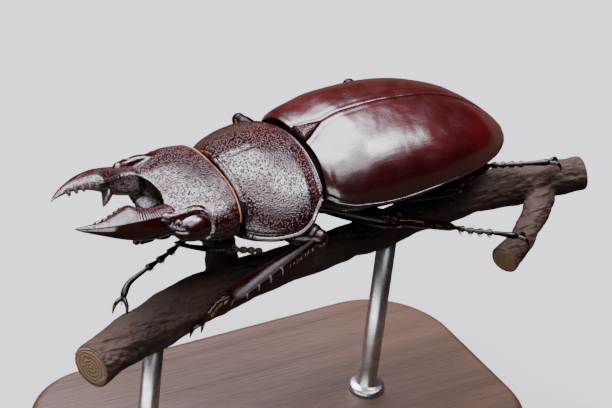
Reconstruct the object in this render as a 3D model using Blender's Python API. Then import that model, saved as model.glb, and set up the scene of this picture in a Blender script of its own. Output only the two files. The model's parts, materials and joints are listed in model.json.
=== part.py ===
"""A male stag beetle at life size, still, gripping a cut length of branch on a plain display stand.

Sizes are in millimetres in the beetle's own frame and MM turns them into metres. In that frame X runs
to the beetle's left, Y to its tail and Z up. Y is 0 at the hind edge of the pronotum, Z is 0 at the
level of the wing cases' rims. At the end everything is set down with the stand's base on Z = 0.
"""

from math import copysign, cos, pi, sin, tau

import bmesh
import bpy
from mathutils import Vector

MM = 0.001
GAP = 0.3            # clearance between pieces that touch
MID_GAP = GAP / 2    # half of it, on each side of a shared plane

# Driving sizes of the trunk.
HEAD_TOP = 1.74
PRONOTUM_FRONT = -8.85
PRONOTUM_WIDTH = 17.9
PRONOTUM_FULLNESS = 1.8    # 2 is an ellipse, less leans to a ridge
WING_CASE_END = 24.9
WING_CASE_WIDTH = 17.4
SUTURE_TOP = 4.85
SCUTELLUM_LENGTH = 2.4
SCUTELLUM_SLOPE = 0.55
THORAX_END = 9.3     # hind thorax below, abdomen behind it
BELLY = -4.6

# Driving sizes of the head's parts.
EYE_CENTRE = (5.5, -14.0, -0.88)
EYE_RADII = (1.35, 1.95, 1.35)
JAW_TIP = -25.3

# Driving sizes of the perch and its stand.
BASE_TOP = -29.5
BASE_THICKNESS = 4.5
BASE_CENTRE = (2.0, 1.0)
BASE_LENGTH = 50.0
BASE_WIDTH = 30.0
BASE_CORNER = 9.0
BASE_CHAMFER = 0.8
ROD_RADIUS = 1.0
ROD_PLACES = (-17.0, 11.0)

SHELL_BLACK = (0.035, 0.012, 0.014)
SHELL_RED = (0.080, 0.014, 0.016)
LEG_DARK = (0.030, 0.010, 0.010)
EYE_DARK = (0.030, 0.006, 0.005)
BARK_BROWN = (0.150, 0.085, 0.050)
BASE_PALE = (0.560, 0.430, 0.300)
ROD_GREY = (0.550, 0.550, 0.560)


# ---------------------------------------------------------------- helpers

def clear_scene():
    for obj in list(bpy.data.objects):
        bpy.data.objects.remove(obj)


def collection(name, helper=False):
    group = bpy.data.collections.new(name)
    group.hide_render = helper
    bpy.context.scene.collection.children.link(group)
    return group


def finish(obj, colour, roughness, metallic=0.0):
    """Gives a piece its own Principled material."""
    surface = bpy.data.materials.new(obj.name + "_finish")
    surface.use_nodes = True
    shader = surface.node_tree.nodes["Principled BSDF"]
    shader.inputs["Base Color"].default_value = (*colour, 1.0)
    shader.inputs["Roughness"].default_value = roughness
    shader.inputs["Metallic"].default_value = metallic
    obj.data.materials.append(surface)
    return obj


def eased(stations, place):
    """The value at a place along (place, value) stations, on a smooth curve that never overshoots."""
    places = [s[0] for s in stations]
    values = [s[1] for s in stations]
    if place <= places[0]:
        return values[0]
    if place >= places[-1]:
        return values[-1]
    steps = [b - a for a, b in zip(places, places[1:])]
    rises = [(b - a) / h for a, b, h in zip(values, values[1:], steps)]
    slopes = [rises[0]]
    for a, b in zip(rises, rises[1:]):
        slopes.append(2 * a * b / (a + b) if a * b > 0 else 0.0)
    slopes.append(rises[-1])
    i = max(k for k, p in enumerate(places[:-1]) if p <= place)
    t = (place - places[i]) / steps[i]
    start = values[i] * (1 + 2 * t) * (1 - t) ** 2 + values[i + 1] * t * t * (3 - 2 * t)
    return start + steps[i] * (slopes[i] * t * (1 - t) ** 2 - slopes[i + 1] * t * t * (1 - t))


def through(points, steps):
    """A smooth path through the points, with so many steps between each two."""
    points = [Vector(p) for p in points]
    ends = [points[0] * 2 - points[1], *points, points[-1] * 2 - points[-2]]
    path = []
    for a, b, c, d in zip(ends, ends[1:], ends[2:], ends[3:]):
        for k in range(steps):
            t = k / steps
            path.append(0.5 * (2 * b + (c - a) * t + (2 * a - 5 * b + 4 * c - d) * t * t
                               + (3 * b - a - 3 * c + d) * t ** 3))
    return [*path, points[-1]]


def placed(name, bm, group):
    """A mesh object from a bmesh in millimetres, with its faces turned outwards."""
    bmesh.ops.recalc_face_normals(bm, faces=bm.faces)
    bmesh.ops.scale(bm, vec=(MM, MM, MM), verts=bm.verts)
    mesh = bpy.data.meshes.new(name)
    bm.to_mesh(mesh)
    bm.free()
    mesh.shade_smooth()
    mesh.set_sharp_from_angle(angle=pi / 5)
    obj = bpy.data.objects.new(name, mesh)
    group.objects.link(obj)
    return obj


def loft(name, rings, group):
    """A closed skin over rings of equal point counts, with a fan over each end."""
    bm = bmesh.new()
    rows = [[bm.verts.new(p) for p in ring] for ring in rings]
    for near, far in zip(rows, rows[1:]):
        for i in range(len(near)):
            j = (i + 1) % len(near)
            bm.faces.new((near[i], near[j], far[j], far[i]))
    for row in (rows[0], rows[-1]):
        hub = bm.verts.new(sum((v.co for v in row), Vector()) / len(row))
        for i in range(len(row)):
            bm.faces.new((row[i], row[(i + 1) % len(row)], hub))
    return placed(name, bm, group)


def limb(name, points, sizes, group, sides=8, steps=2, across=(0, 0, 1)):
    """A bent, tapering member. Each size is (half thickness along `across`, half width)."""
    path = through(points, steps)
    last = len(path) - 1
    thick = [(i * last / (len(sizes) - 1), s[0]) for i, s in enumerate(sizes)]
    wide = [(i * last / (len(sizes) - 1), s[1]) for i, s in enumerate(sizes)]
    rings = []
    for i, centre in enumerate(path):
        ahead = (path[min(i + 1, last)] - path[max(i - 1, 0)]).normalized()
        side = ahead.cross(Vector(across)).normalized()
        up = side.cross(ahead)
        ring = []
        for k in range(sides):
            turn = tau * (k + 0.5) / sides
            ring.append(centre + side * eased(wide, i) * cos(turn) + up * eased(thick, i) * sin(turn))
        rings.append(ring)
    return loft(name, rings, group)


def spike(name, root, tip, radius, group, sides=6):
    """A straight thorn from root to tip with a blunt point."""
    root, tip = Vector(root), Vector(tip)
    return limb(name, (root, tip), ((radius, radius), (0.3 * radius, 0.3 * radius)), group,
                sides=sides, steps=1, across=(0.13, 0.21, 0.97))


def ball(name, centre, radii, group, segments=20, rings=12):
    bm = bmesh.new()
    bmesh.ops.create_uvsphere(bm, u_segments=segments, v_segments=rings, radius=1.0)
    bmesh.ops.scale(bm, vec=radii, verts=bm.verts)
    bmesh.ops.translate(bm, vec=centre, verts=bm.verts)
    return placed(name, bm, group)


def boolean(target, tool, operation):
    """Applies an exact cut or join, in the stricter way if a tool that crosses itself empties it."""
    for crossing in (False, True):
        step = target.modifiers.new(operation.title(), "BOOLEAN")
        step.operation = operation
        step.solver = "EXACT"
        step.use_self = crossing
        step.object = tool
        graph = bpy.context.evaluated_depsgraph_get()
        mesh = bpy.data.meshes.new_from_object(target.evaluated_get(graph))
        target.modifiers.clear()
        if mesh.polygons:
            break
    target.data = mesh


def united(target, others):
    """Joins other pieces into target, each with a clear overlap, and removes them."""
    for other in others:
        boolean(target, other, "UNION")
        bpy.data.objects.remove(other)
    return target


def swollen(obj, by):
    """A copy of a piece grown by `by` on every side."""
    grown = bpy.data.objects.new(obj.name + "_clearance", obj.data.copy())
    CUTTERS.objects.link(grown)
    grown.display_type = "WIRE"
    bm = bmesh.new()
    bm.from_mesh(grown.data)
    bm.normal_update()
    moves = [v.normal * by * MM * min(v.calc_shell_factor(), 1.6) for v in bm.verts]
    for vert, move in zip(bm.verts, moves):
        vert.co += move
    bm.to_mesh(grown.data)
    bm.free()
    return grown


def keep_largest(obj):
    """Drops the crumbs that a cut leaves, keeping the largest body."""
    bm = bmesh.new()
    bm.from_mesh(obj.data)
    bmesh.ops.remove_doubles(bm, verts=bm.verts, dist=2e-6)
    left = set(bm.verts)
    bodies = []
    while left:
        todo = [left.pop()]
        body = set(todo)
        while todo:
            for edge in todo.pop().link_edges:
                for vert in edge.verts:
                    if vert in left:
                        left.discard(vert)
                        body.add(vert)
                        todo.append(vert)
        bodies.append(body)
    bodies.sort(key=len)
    for body in bodies[:-1]:
        bmesh.ops.delete(bm, geom=list(body), context="VERTS")
    bm.to_mesh(obj.data)
    bm.free()


def clear_of(piece, neighbours, gap=GAP):
    """Cuts room for its neighbours out of a piece, leaving the gap between them."""
    for neighbour in neighbours:
        tool = swollen(neighbour, gap)
        boolean(piece, tool, "DIFFERENCE")
        bpy.data.objects.remove(tool)
    keep_largest(piece)
    return piece


def arch(width, rim, top, fullness, count, start=0.0, end=pi):
    """Points (x, z) over an arch from one rim to the other."""
    points = []
    for k in range(count + 1):
        turn = start + (end - start) * k / count
        x = width * copysign(abs(cos(turn)) ** (2 / fullness), cos(turn))
        points.append((x, rim + (top - rim) * abs(sin(turn)) ** (2 / fullness)))
    return points


def spaced(first, last, count):
    return [first + (last - first) * k / (count - 1) for k in range(count)]


def mirrored(points, side):
    return [(side * x, y, z) for x, y, z in points]


SIDES = {"left": 1, "right": -1}
clear_scene()
BEETLE = collection("stag_beetle")
CUTTERS = collection("cutters", helper=True)


# ---------------------------------------------------------------- trunk

# Along the pronotum from front (0) to back (1): its width as a share of the full width, then the levels
# of its middle and of its rim.
PRONOTUM_SPREAD = ((0.0, 0.715), (0.12, 0.84), (0.35, 0.95), (0.62, 1.0), (0.76, 0.978), (0.9, 0.866),
                   (1.0, 0.8))
PRONOTUM_TOP = ((0.0, 1.75), (0.2, 2.35), (0.5, 2.8), (0.8, 2.85), (0.94, 2.6), (1.0, 2.3))
PRONOTUM_RIM = ((0.0, -2.9), (0.3, -2.6), (0.6, -2.1), (0.85, -1.0), (1.0, 0.0))


def pronotum_front(x):
    return PRONOTUM_FRONT + 0.3 * (x / 7.0) ** 2


def pronotum_back(x):
    return -0.9 * (x / 7.0) ** 2


def pronotum_ring(t):
    half = eased(PRONOTUM_SPREAD, t) * PRONOTUM_WIDTH / 2
    rim = eased(PRONOTUM_RIM, t)
    over = arch(half, rim, eased(PRONOTUM_TOP, t), PRONOTUM_FULLNESS, 14)
    under = [(x, rim - 0.25 * sin(pi * (x + half) / (2 * half))) for x in spaced(-half, half, 9)[1:-1]]
    return [(x, pronotum_front(x) * (1 - t) + pronotum_back(x) * t, z) for x, z in over + under]


def make_pronotum():
    places = (0.0, 0.06, 0.16, 0.3, 0.45, 0.58, 0.67, 0.76, 0.86, 0.95, 1.0)
    return finish(loft("pronotum", [pronotum_ring(t) for t in places], BEETLE), SHELL_BLACK, 0.3)


def make_prosternum():
    """The underside of the fore body, which carries the front legs."""
    rings = []
    for t in (0.02, 0.15, 0.35, 0.55, 0.75, 0.92):
        half = eased(PRONOTUM_SPREAD, t) * PRONOTUM_WIDTH / 2 - 0.75
        roof = eased(PRONOTUM_RIM, t) - 0.62
        floor = eased(((0.0, -4.3), (0.4, BELLY), (1.0, -4.1)), t)
        y = PRONOTUM_FRONT * (1 - t) - 0.5 * t
        over = [(x, roof) for x in spaced(half, -half, 5)]
        under = arch(-half, roof, floor, 2.1, 10)[1:-1]
        rings.append([(x, y, z) for x, z in over + under])
    return finish(loft("prosternum", rings, BEETLE), LEG_DARK, 0.35)


# Along the wing cases: their width as a share of the full width, then the levels of the suture and rim.
WING_SPREAD = ((0.35, 0.75), (1.2, 0.86), (3.0, 0.95), (6.5, 1.0), (11.0, 0.99), (15.0, 0.908), (18.5, 0.77),
               (21.3, 0.575), (23.4, 0.345), (24.5, 0.172), (WING_CASE_END, 0.086))
WING_TOP = ((0.35, 2.9), (2.4, 3.75), (5.0, 4.6), (9.0, SUTURE_TOP), (13.5, 4.55), (17.5, 3.6), (21.0, 1.95),
            (23.3, 0.3), (WING_CASE_END, -1.3))
WING_RIM = ((0.35, -0.6), (3.0, -1.2), (7.0, -1.25), (13.0, -0.8), (19.0, -0.95),
            (WING_CASE_END, -1.75))


def make_wing_case(side_name):
    """One wing case, from the shoulder to the tip, solid down to its rim."""
    side = SIDES[side_name]
    places = (0.35, 0.9, 1.7, 2.75, 4.5, 7.2, 10.4, 13.8, 17.0, 19.8, 22.1, 23.7, 24.6, WING_CASE_END)
    rings = []
    for y in places:
        half = eased(WING_SPREAD, y) * WING_CASE_WIDTH / 2
        rim = eased(WING_RIM, y)
        top = eased(WING_TOP, y)
        inner = MID_GAP + max(0.0, SCUTELLUM_LENGTH + GAP - y) * SCUTELLUM_SLOPE
        over = [(inner + (half - inner) * x / half, z) for x, z in arch(half, rim, top, 2.3, 10, 0, pi / 2)]
        under = [(x, rim - 0.02) for x in spaced(inner, half, 5)[:-1]]
        bend = [-0.55 * (x / 7.0) ** 2 * max(0.0, 1 - (y - 0.35) / 3.0) for x, _ in over + under]
        rings.append([(side * x, y + b, z) for (x, z), b in zip(over + under, bend)])
    return finish(loft("wing_case_" + side_name, rings, BEETLE), SHELL_RED, 0.25)


def make_scutellum():
    rings = []
    for y, slack in ((0.32, 0.0), (1.0, 0.0), (1.7, 0.0), (SCUTELLUM_LENGTH, 0.12)):
        half = (SCUTELLUM_LENGTH - y) * SCUTELLUM_SLOPE + slack
        top = 3.2 + 0.12 * y
        rings.append([(half, y, top - 0.12), (0.5 * half, y, top), (-0.5 * half, y, top),
                      (-half, y, top - 0.12), (-half, y, 1.9), (half, y, 1.9)])
    return finish(loft("scutellum", rings, BEETLE), SHELL_BLACK, 0.3)


UNDER_HALF = ((0.0, 6.2), (3.0, 7.3), (9.0, 7.7), (15.0, 7.0), (19.3, 5.4), (22.2, 3.4), (24.0, 1.2))
UNDER_FLOOR = ((0.0, -4.0), (4.0, BELLY), (9.5, -4.5), (15.0, -4.1), (20.0, -3.4), (24.0, -2.4))


def underside(name, first, last, count, colour):
    rings = []
    for y in spaced(first, last, count):
        half = eased(UNDER_HALF, y)
        roof = eased(WING_RIM, y) - 0.32
        over = [(x, roof) for x in spaced(half, -half, 5)]
        under = arch(-half, roof, eased(UNDER_FLOOR, y), 2.1, 10)[1:-1]
        rings.append([(x, y, z) for x, z in over + under])
    return finish(loft(name, rings, BEETLE), colour, 0.35)


# ---------------------------------------------------------------- head

HEAD_HALF = ((-15.6, 4.7), (-14.2, 5.35), (-12.7, 6.7), (-11.2, 7.1), (-9.2, 6.6))
HEAD_CROWN = ((-15.6, 0.6), (-14.0, 1.12), (-12.0, 1.5), (-9.3, HEAD_TOP))
HEAD_FLOOR = ((-15.6, -2.9), (-12.0, -3.75), (-9.3, -4.1))
HEAD_SIDE = -1.55    # level of the head's widest line

CANTHUS_PATH = ((4.35, -17.3, 0.4), (4.8, -16.7, 0.22), (4.98, -15.6, 0.25), (4.9, -14.1, 0.4),
                (5.3, -12.7, 0.3))
CANTHUS_SIZE = ((0.36, 0.36), (0.6, 0.6), (0.6, 0.55), (0.6, 0.5), (0.45, 0.45))


def make_head():
    """The head capsule: hollowed in front between the two canthi that run over the eyes."""
    rings = []
    front = -15.55
    for scale, recess in ((0.35, 0.75), (0.75, 0.55), (0.93, 0.2)):
        ring = head_ring(front, scale)
        rings.append([(x, y + recess, z) for x, y, z in ring])
    for y in (front, -15.0, -14.2, -13.2, -12.0, -10.8, pronotum_front(0) - GAP):
        rings.append(head_ring(y, 1.0))
    head = loft("head", rings, BEETLE)
    ridges = [limb("canthus_" + name, mirrored(CANTHUS_PATH, side), CANTHUS_SIZE, BEETLE, sides=6, steps=1)
              for name, side in SIDES.items()]
    return finish(united(head, ridges), SHELL_BLACK, 0.3)


def head_ring(y, scale):
    half = eased(HEAD_HALF, y) * scale
    crown = HEAD_SIDE + (eased(HEAD_CROWN, y) - HEAD_SIDE) * scale
    floor = HEAD_SIDE + (eased(HEAD_FLOOR, y) - HEAD_SIDE) * scale
    over = arch(half, HEAD_SIDE, crown, 2.7, 12)
    under = arch(-half, HEAD_SIDE, floor, 2.2, 8)[1:-1]
    hollow = max(0.0, min(1.0, (-12.0 - y) / 3.5))
    ring = []
    for x, z in over + under:
        hung = -1.5 * (abs(x) / 4.6) ** 2 * hollow if z > HEAD_SIDE else -0.7 * hollow
        ring.append((x, y + hung - 0.35 * (x / 7) ** 2 * (1 - hollow), z))
    return ring


def make_eye(side_name):
    side = SIDES[side_name]
    centre = (side * EYE_CENTRE[0], EYE_CENTRE[1], EYE_CENTRE[2])
    return finish(ball("eye_" + side_name, centre, EYE_RADII, BEETLE, 12, 8), EYE_DARK, 0.1)


def make_labrum():
    rings = []
    for y, half, top, low in ((-15.3, 1.0, -0.75, -1.5), (-16.0, 1.05, -0.75, -1.5),
                              (-16.7, 0.98, -0.9, -1.45), (-17.1, 0.55, -1.0, -1.35)):
        rings.append([(half, y, (top + low) / 2), (0.8 * half, y, top), (0.0, y, top + 0.12),
                      (-0.8 * half, y, top), (-half, y, (top + low) / 2), (-0.8 * half, y, low),
                      (0.0, y, low - 0.05), (0.8 * half, y, low)])
    return finish(loft("labrum", rings, BEETLE), LEG_DARK, 0.35)


# The left jaw's long lines from tip to root as (y, x, z): its inner upper edge, its outer upper edge, its
# outer side, its lower side and its inner side.
JAW_LINES = (
    ((-25.3, 2.35, -0.2), (-24.2, 2.77, 0.0), (-22.6, 2.88, 0.22), (-20.7, 2.4, 0.62),
     (-19.8, 2.15, 0.75), (-18.8, 2.65, 0.5), (-17.5, 3.0, 0.42), (-16.0, 2.6, 0.25)),
    ((-25.3, 2.6, -0.17), (-24.2, 3.5, 0.07), (-22.6, 4.33, 0.4), (-20.7, 4.86, 0.65),
     (-19.8, 4.97, 0.69), (-18.8, 4.92, 0.66), (-17.5, 4.8, 0.55), (-16.0, 4.7, 0.4)),
    ((-25.3, 2.65, -0.3), (-24.2, 3.55, -0.25), (-22.6, 4.45, -0.2), (-20.7, 5.05, -0.32),
     (-19.8, 5.2, -0.42), (-18.8, 5.25, -0.6), (-17.5, 5.25, -0.8), (-16.0, 5.1, -0.9)),
    ((-25.3, 2.5, -0.44), (-24.2, 3.3, -0.55), (-22.6, 4.15, -0.84), (-20.7, 4.7, -1.32),
     (-19.8, 4.75, -1.57), (-18.8, 4.55, -1.87), (-17.5, 4.2, -2.2), (-16.0, 3.8, -2.4)),
    ((-25.3, 2.35, -0.36), (-24.2, 2.9, -0.32), (-22.6, 3.35, -0.34), (-20.7, 3.4, -0.42),
     (-19.8, 3.15, -0.52), (-18.8, 2.7, -0.75), (-17.5, 2.2, -1.0), (-16.0, 1.9, -1.0)),
)
JAW_PLACES = (-16.0, -17.5, -18.8, -19.8, -20.7, -21.7, -22.7, -23.7, -24.6, JAW_TIP)
INNER_TOOTH = ((3.6, -18.6, -0.55), (2.35, -19.3, -0.9), (1.35, -20.2, -1.45))
DENTICLES = (-23.2, -22.45, -21.75, -21.1, -20.5)      # places along the inner upper edge


def jaw_ring(y, side):
    """The jaw's section at y: a low-arched top, a round outer side and an undercut inner side."""
    points = []
    for line in JAW_LINES:
        x = eased([(station[0], station[1]) for station in line], y)
        z = eased([(station[0], station[2]) for station in line], y)
        points.append(Vector((side * x, y, z)))
    crest, keel = points[:2]
    rise = Vector((0, 0, 0.1 * (keel - crest).length))
    round_side = through((*points[1:], crest), 2)
    return [crest, crest.lerp(keel, 0.45) + rise, *round_side[:-1]]


def make_mandible(side_name):
    """A curved jaw with one large inner tooth near its base and a row of small ones beyond it."""
    side = SIDES[side_name]
    name = "mandible_" + side_name
    jaw = loft(name, [jaw_ring(y, side) for y in JAW_PLACES], BEETLE)
    teeth = [limb(name + "_tooth", mirrored(INNER_TOOTH, side), ((0.5, 0.85), (0.4, 0.52), (0.16, 0.16)),
                  BEETLE, sides=6)]
    for y in DENTICLES:
        spot = jaw_ring(y, side)[0]
        inward = Vector((-0.78 * side, -0.05, -0.62))
        teeth.append(spike(name + "_denticle", spot - inward * 0.5, spot + inward * 0.36, 0.26, BEETLE,
                           sides=4))
    return finish(united(jaw, teeth), SHELL_BLACK, 0.2)


# Each antenna's shaft lies back under the cheek. From its elbow the left one goes on back to its club,
# and the right one is folded forward.
ANTENNA_SHAFT = ((4.5, -15.7, -3.15), (5.0, -14.0, -3.9), (5.4, -12.0, -4.35))
ANTENNA_BEADS = {"left": ((5.4, -12.1, -4.35), (5.65, -11.3, -4.35), (5.95, -10.4, -4.2)),
                 "right": ((5.4, -12.1, -4.35), (6.5, -12.0, -4.6), (7.6, -12.6, -4.75))}
ANTENNA_CLUB = {"left": ((5.95, -10.4, -4.2), (6.7, -9.2, -4.1), (7.5, -7.95, -4.0)),
                "right": ((7.6, -12.6, -4.75), (8.2, -13.6, -4.7), (8.5, -14.8, -4.4))}


def make_antenna(side_name):
    """An antenna: a long shaft along the cheek, a beaded middle and a club of plates."""
    side = SIDES[side_name]
    name = "antenna_" + side_name
    shaft = limb(name, mirrored(ANTENNA_SHAFT, side), ((0.27, 0.27), (0.3, 0.3), (0.38, 0.38)),
                 BEETLE, sides=6)
    beads = limb(name + "_beads", mirrored(ANTENNA_BEADS[side_name], side),
                 ((0.33, 0.33), (0.27, 0.27), (0.33, 0.33)), BEETLE, sides=6, steps=1)
    club = limb(name + "_club", mirrored(ANTENNA_CLUB[side_name], side),
                ((0.3, 0.3), (0.5, 0.45), (0.42, 0.4)), BEETLE, sides=6)
    return finish(united(shaft, (beads, club)), LEG_DARK, 0.5)


PALP_PATH = ((1.2, -15.5, -4.3), (1.9, -17.2, -4.1), (2.2, -18.6, -3.6))


def make_mentum():
    """The plate under the mouth, with a pair of palps reaching forward from it."""
    plate = ball("mentum", (0.0, -14.9, -4.35), (1.9, 1.5, 0.42), BEETLE, 12, 6)
    palps = [limb("palp_" + name, mirrored(PALP_PATH, side), ((0.3, 0.3), (0.27, 0.27), (0.36, 0.36)),
                  BEETLE, sides=6, steps=1)
             for name, side in SIDES.items()]
    return finish(united(plate, palps), LEG_DARK, 0.45)


# ---------------------------------------------------------------- legs

# For each leg: where it leaves the body, its knee, the end of its shin, and the foot's way to the claws.
LEGS = {
    "front_left": ((1.9, -5.2, -4.6), (9.2, -2.2, -2.9), (9.4, -11.7, -7.05),
                   ((8.5, -12.4, -8.0), (7.7, -13.0, -10.0), (6.8, -13.2, -11.7))),
    "front_right": ((-1.9, -5.2, -4.6), (-7.6, -8.7, -4.1), (0.8, -11.3, -5.3),
                    ((1.4, -14.3, -6.6), (1.7, -16.6, -7.5), (2.0, -18.7, -8.5), (3.0, -19.8, -9.5))),
    "middle_left": ((2.2, 2.4, -4.6), (7.6, 7.7, -4.4), (7.6, 14.9, -6.9),
                    ((8.4, 16.7, -7.3), (9.3, 18.7, -7.5), (10.3, 21.6, -8.1))),
    "middle_right": ((-2.8, 2.5, -4.6), (-9.8, -0.4, -0.8), (-4.4, -1.0, -6.6),
                     ((-2.8, -0.7, -7.8), (-1.0, -0.2, -8.6), (0.6, 0.3, -8.8))),
    "hind_left": ((3.0, 8.0, -4.5), (5.2, 16.4, -3.9), (1.6, 22.8, -5.0),
                  ((2.0, 25.2, -5.2), (2.7, 27.5, -5.2), (3.5, 29.9, -5.1))),
    "hind_right": ((-3.0, 8.4, -4.5), (-11.2, 13.6, -0.5), (-5.4, 17.2, -5.1),
                   ((-3.9, 19.1, -6.4), (-2.6, 20.9, -6.9), (-1.5, 22.4, -6.8))),
}
FEMUR_SWELL = {"front": 1.22, "middle": 1.0, "hind": 1.0}     # how much the thigh thickens to the knee
SHIN_THORNS = {"front": 4, "middle": 1, "hind": 1}
SHIN_WIDTH = {"front": 1.3, "middle": 0.75, "hind": 0.75}     # half width at the ankle
TARSUS_LOBES = 4


def across_leg(hip, knee, ankle):
    """The direction square to the plane in which a leg bends."""
    return (Vector(knee) - Vector(hip)).cross(Vector(ankle) - Vector(knee)).normalized()


def make_femur(leg):
    hip, knee, ankle, _ = LEGS[leg]
    square = across_leg(hip, knee, ankle)
    hip, knee = Vector(hip), Vector(knee)
    stations = (hip, hip.lerp(knee, 0.25), hip.lerp(knee, 0.6), hip.lerp(knee, 0.88), hip.lerp(knee, 1.02))
    swell = FEMUR_SWELL[leg.split("_")[0]]
    sizes = ((0.85, 0.95), (0.75, 0.95), (0.9, 1.15), (0.9 * swell, 1.05 * swell),
             (0.6 * swell, 0.65 * swell))
    return finish(limb("femur_" + leg, stations, sizes, BEETLE, steps=1, across=square), LEG_DARK, 0.2)


def make_tibia(leg):
    """A shin that widens to its end, with thorns along its outer edge and two at its end."""
    hip, knee, ankle, _ = LEGS[leg]
    square = across_leg(hip, knee, ankle)
    knee, ankle = Vector(knee), Vector(ankle)
    along = (ankle - knee).normalized()
    outer = square.cross(along)
    if outer.dot(knee - Vector(hip)) < 0:
        outer = -outer
    start = knee + along * 0.2
    row = leg.split("_")[0]
    wide = SHIN_WIDTH[row]
    shin = limb("tibia_" + leg, (start, start.lerp(ankle, 0.33), start.lerp(ankle, 0.7), ankle),
                ((0.5, 0.55), (0.5, 0.45 + 0.25 * wide), (0.5, 0.85 * wide), (0.5, wide)), BEETLE, sides=6,
                steps=1, across=square)
    count = SHIN_THORNS[row]
    thorns = []
    for k in range(count):
        share = 0.42 + 0.53 * (k + 0.5) / count
        root = start.lerp(ankle, share) + outer * 0.4 * wide
        tip = root + outer * (0.4 + 0.62 * wide) + along * 0.45
        thorns.append(spike("thorn", root, tip, 0.3, BEETLE, sides=4))
    for turn in (-1, 1):
        root = ankle + outer * turn * wide * 0.6 - along * 0.3
        thorns.append(spike("thorn", root, root + along * 1.15 + outer * turn * 0.55, 0.32, BEETLE, sides=4))
    return finish(united(shin, thorns), LEG_DARK, 0.25)


def make_tarsus(leg):
    """A foot of four short flared joints and one long slender one, with a pair of hooked claws."""
    hip, knee, ankle, way = LEGS[leg]
    ankle = Vector(ankle)
    path = through((ankle, *way), 4)
    start = ankle + (path[1] - ankle).normalized() * (GAP + 0.1)
    path[0] = start
    last = len(path) - 1
    stations, sizes = [], []
    for k in range(TARSUS_LOBES):
        for share, radius in ((0.02, 0.27), (0.85, 0.45)):
            stations.append(place_on(path, (k + share) / TARSUS_LOBES * 0.55 * last))
            sizes.append((radius, radius))
    for share, radius in ((0.58, 0.26), (0.8, 0.27), (1.0, 0.36)):
        stations.append(place_on(path, share * last))
        sizes.append((radius, radius))
    foot = limb("tarsus_" + leg, stations, sizes, BEETLE, sides=5, steps=1, across=(0.2, 0.1, 0.97))
    ahead = (path[-1] - path[-2]).normalized()
    side = ahead.cross(Vector((0, 0, 1))).normalized()
    claws = []
    for turn in (-1, 1):
        root = path[-1] - ahead * 0.3 + side * turn * 0.07
        knuckle = root + ahead * 0.85 + side * turn * 0.5 + Vector((0, 0, 0.05))
        tip = root + ahead * 1.25 + side * turn * 0.65 - Vector((0, 0, 0.65))
        claws.append(limb("claw", (root, knuckle, tip), ((0.26, 0.26), (0.25, 0.25), (0.1, 0.1)), BEETLE,
                          sides=4, steps=1, across=side))
    return finish(united(foot, claws), LEG_DARK, 0.3)


def place_on(path, where):
    """The point at a fractional index of a path."""
    i = min(int(where), len(path) - 2)
    return path[i].lerp(path[i + 1], where - i)


# ---------------------------------------------------------------- perch and stand

BRANCH_PATH = ((7.4, -25.2, -12.9), (5.0, -18.9, -12.3), (3.7, -13.1, -11.5), (3.4, -7.5, -10.5),
               (3.5, -2.0, -9.7), (3.1, 5.4, -9.2), (2.1, 12.0, -9.2), (1.2, 18.5, -9.0),
               (1.4, 25.6, -8.4), (2.9, 30.6, -7.7), (3.9, 34.0, -7.2))
BRANCH_RADII = (2.2, 2.3, 2.4, 2.3, 1.85, 1.75, 1.8, 1.9, 2.0, 2.0, 1.75)
FORK_PATH = ((3.4, -8.4, -10.4), (0.4, -7.2, -9.9), (-2.8, -5.9, -9.2), (-5.6, -4.8, -8.4))
TWIG_PATH = ((2.9, 30.2, -8.2), (5.6, 27.2, -9.2), (8.1, 24.0, -10.0), (9.8, 20.6, -11.2))


def make_branch():
    """The cut length of branch the beetle grips, with a cut fork and a side twig."""
    branch = limb("perch_branch", BRANCH_PATH, [(r, r) for r in BRANCH_RADII], BEETLE, sides=11,
                  steps=1)
    fork = limb("fork", FORK_PATH, ((1.9, 1.9), (1.7, 1.7), (1.6, 1.6), (1.5, 1.5)), BEETLE, steps=1)
    twig = limb("twig", TWIG_PATH, ((1.5, 1.5), (1.4, 1.4), (1.35, 1.35), (1.5, 1.5)), BEETLE, steps=1)
    return finish(united(branch, (fork, twig)), BARK_BROWN, 0.85)


def branch_at(y):
    """Centre and radius of the branch at a place along it."""
    path = through(BRANCH_PATH, 8)
    i = min(range(len(path)), key=lambda k: abs(path[k].y - y))
    return path[i], eased([(p[1], r) for p, r in zip(BRANCH_PATH, BRANCH_RADII)], y)


def make_stand_base():
    """A flat plate with rounded corners and a small chamfer round its upper and lower edges."""
    bm = bmesh.new()
    bmesh.ops.create_cube(bm, size=1.0)
    bmesh.ops.scale(bm, vec=(BASE_WIDTH, BASE_LENGTH, BASE_THICKNESS), verts=bm.verts)
    upright = [e for e in bm.edges if abs(e.verts[0].co.z - e.verts[1].co.z) > 1]
    bmesh.ops.bevel(bm, geom=upright, offset=BASE_CORNER, segments=5, affect="EDGES", profile=0.5)
    level = [e for e in bm.edges if abs(e.verts[0].co.z - e.verts[1].co.z) < 0.1
             and len({round(f.normal.z) for f in e.link_faces}) > 1]
    bmesh.ops.bevel(bm, geom=level, offset=BASE_CHAMFER, segments=1, affect="EDGES", profile=0.5)
    middle = (BASE_CENTRE[0], BASE_CENTRE[1], BASE_TOP - BASE_THICKNESS / 2)
    bmesh.ops.translate(bm, vec=middle, verts=bm.verts)
    return finish(placed("stand_base", bm, BEETLE), BASE_PALE, 0.45)


def make_rod(name, y):
    centre, radius = branch_at(y)
    foot = BASE_TOP + GAP
    head = centre.z - radius + 0.9
    bm = bmesh.new()
    bmesh.ops.create_cone(bm, cap_ends=True, segments=20, radius1=ROD_RADIUS, radius2=ROD_RADIUS,
                          depth=head - foot)
    bmesh.ops.translate(bm, vec=(centre.x, centre.y, (head + foot) / 2), verts=bm.verts)
    return finish(placed(name, bm, BEETLE), ROD_GREY, 0.3, 1.0)


# ---------------------------------------------------------------- assembly

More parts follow.
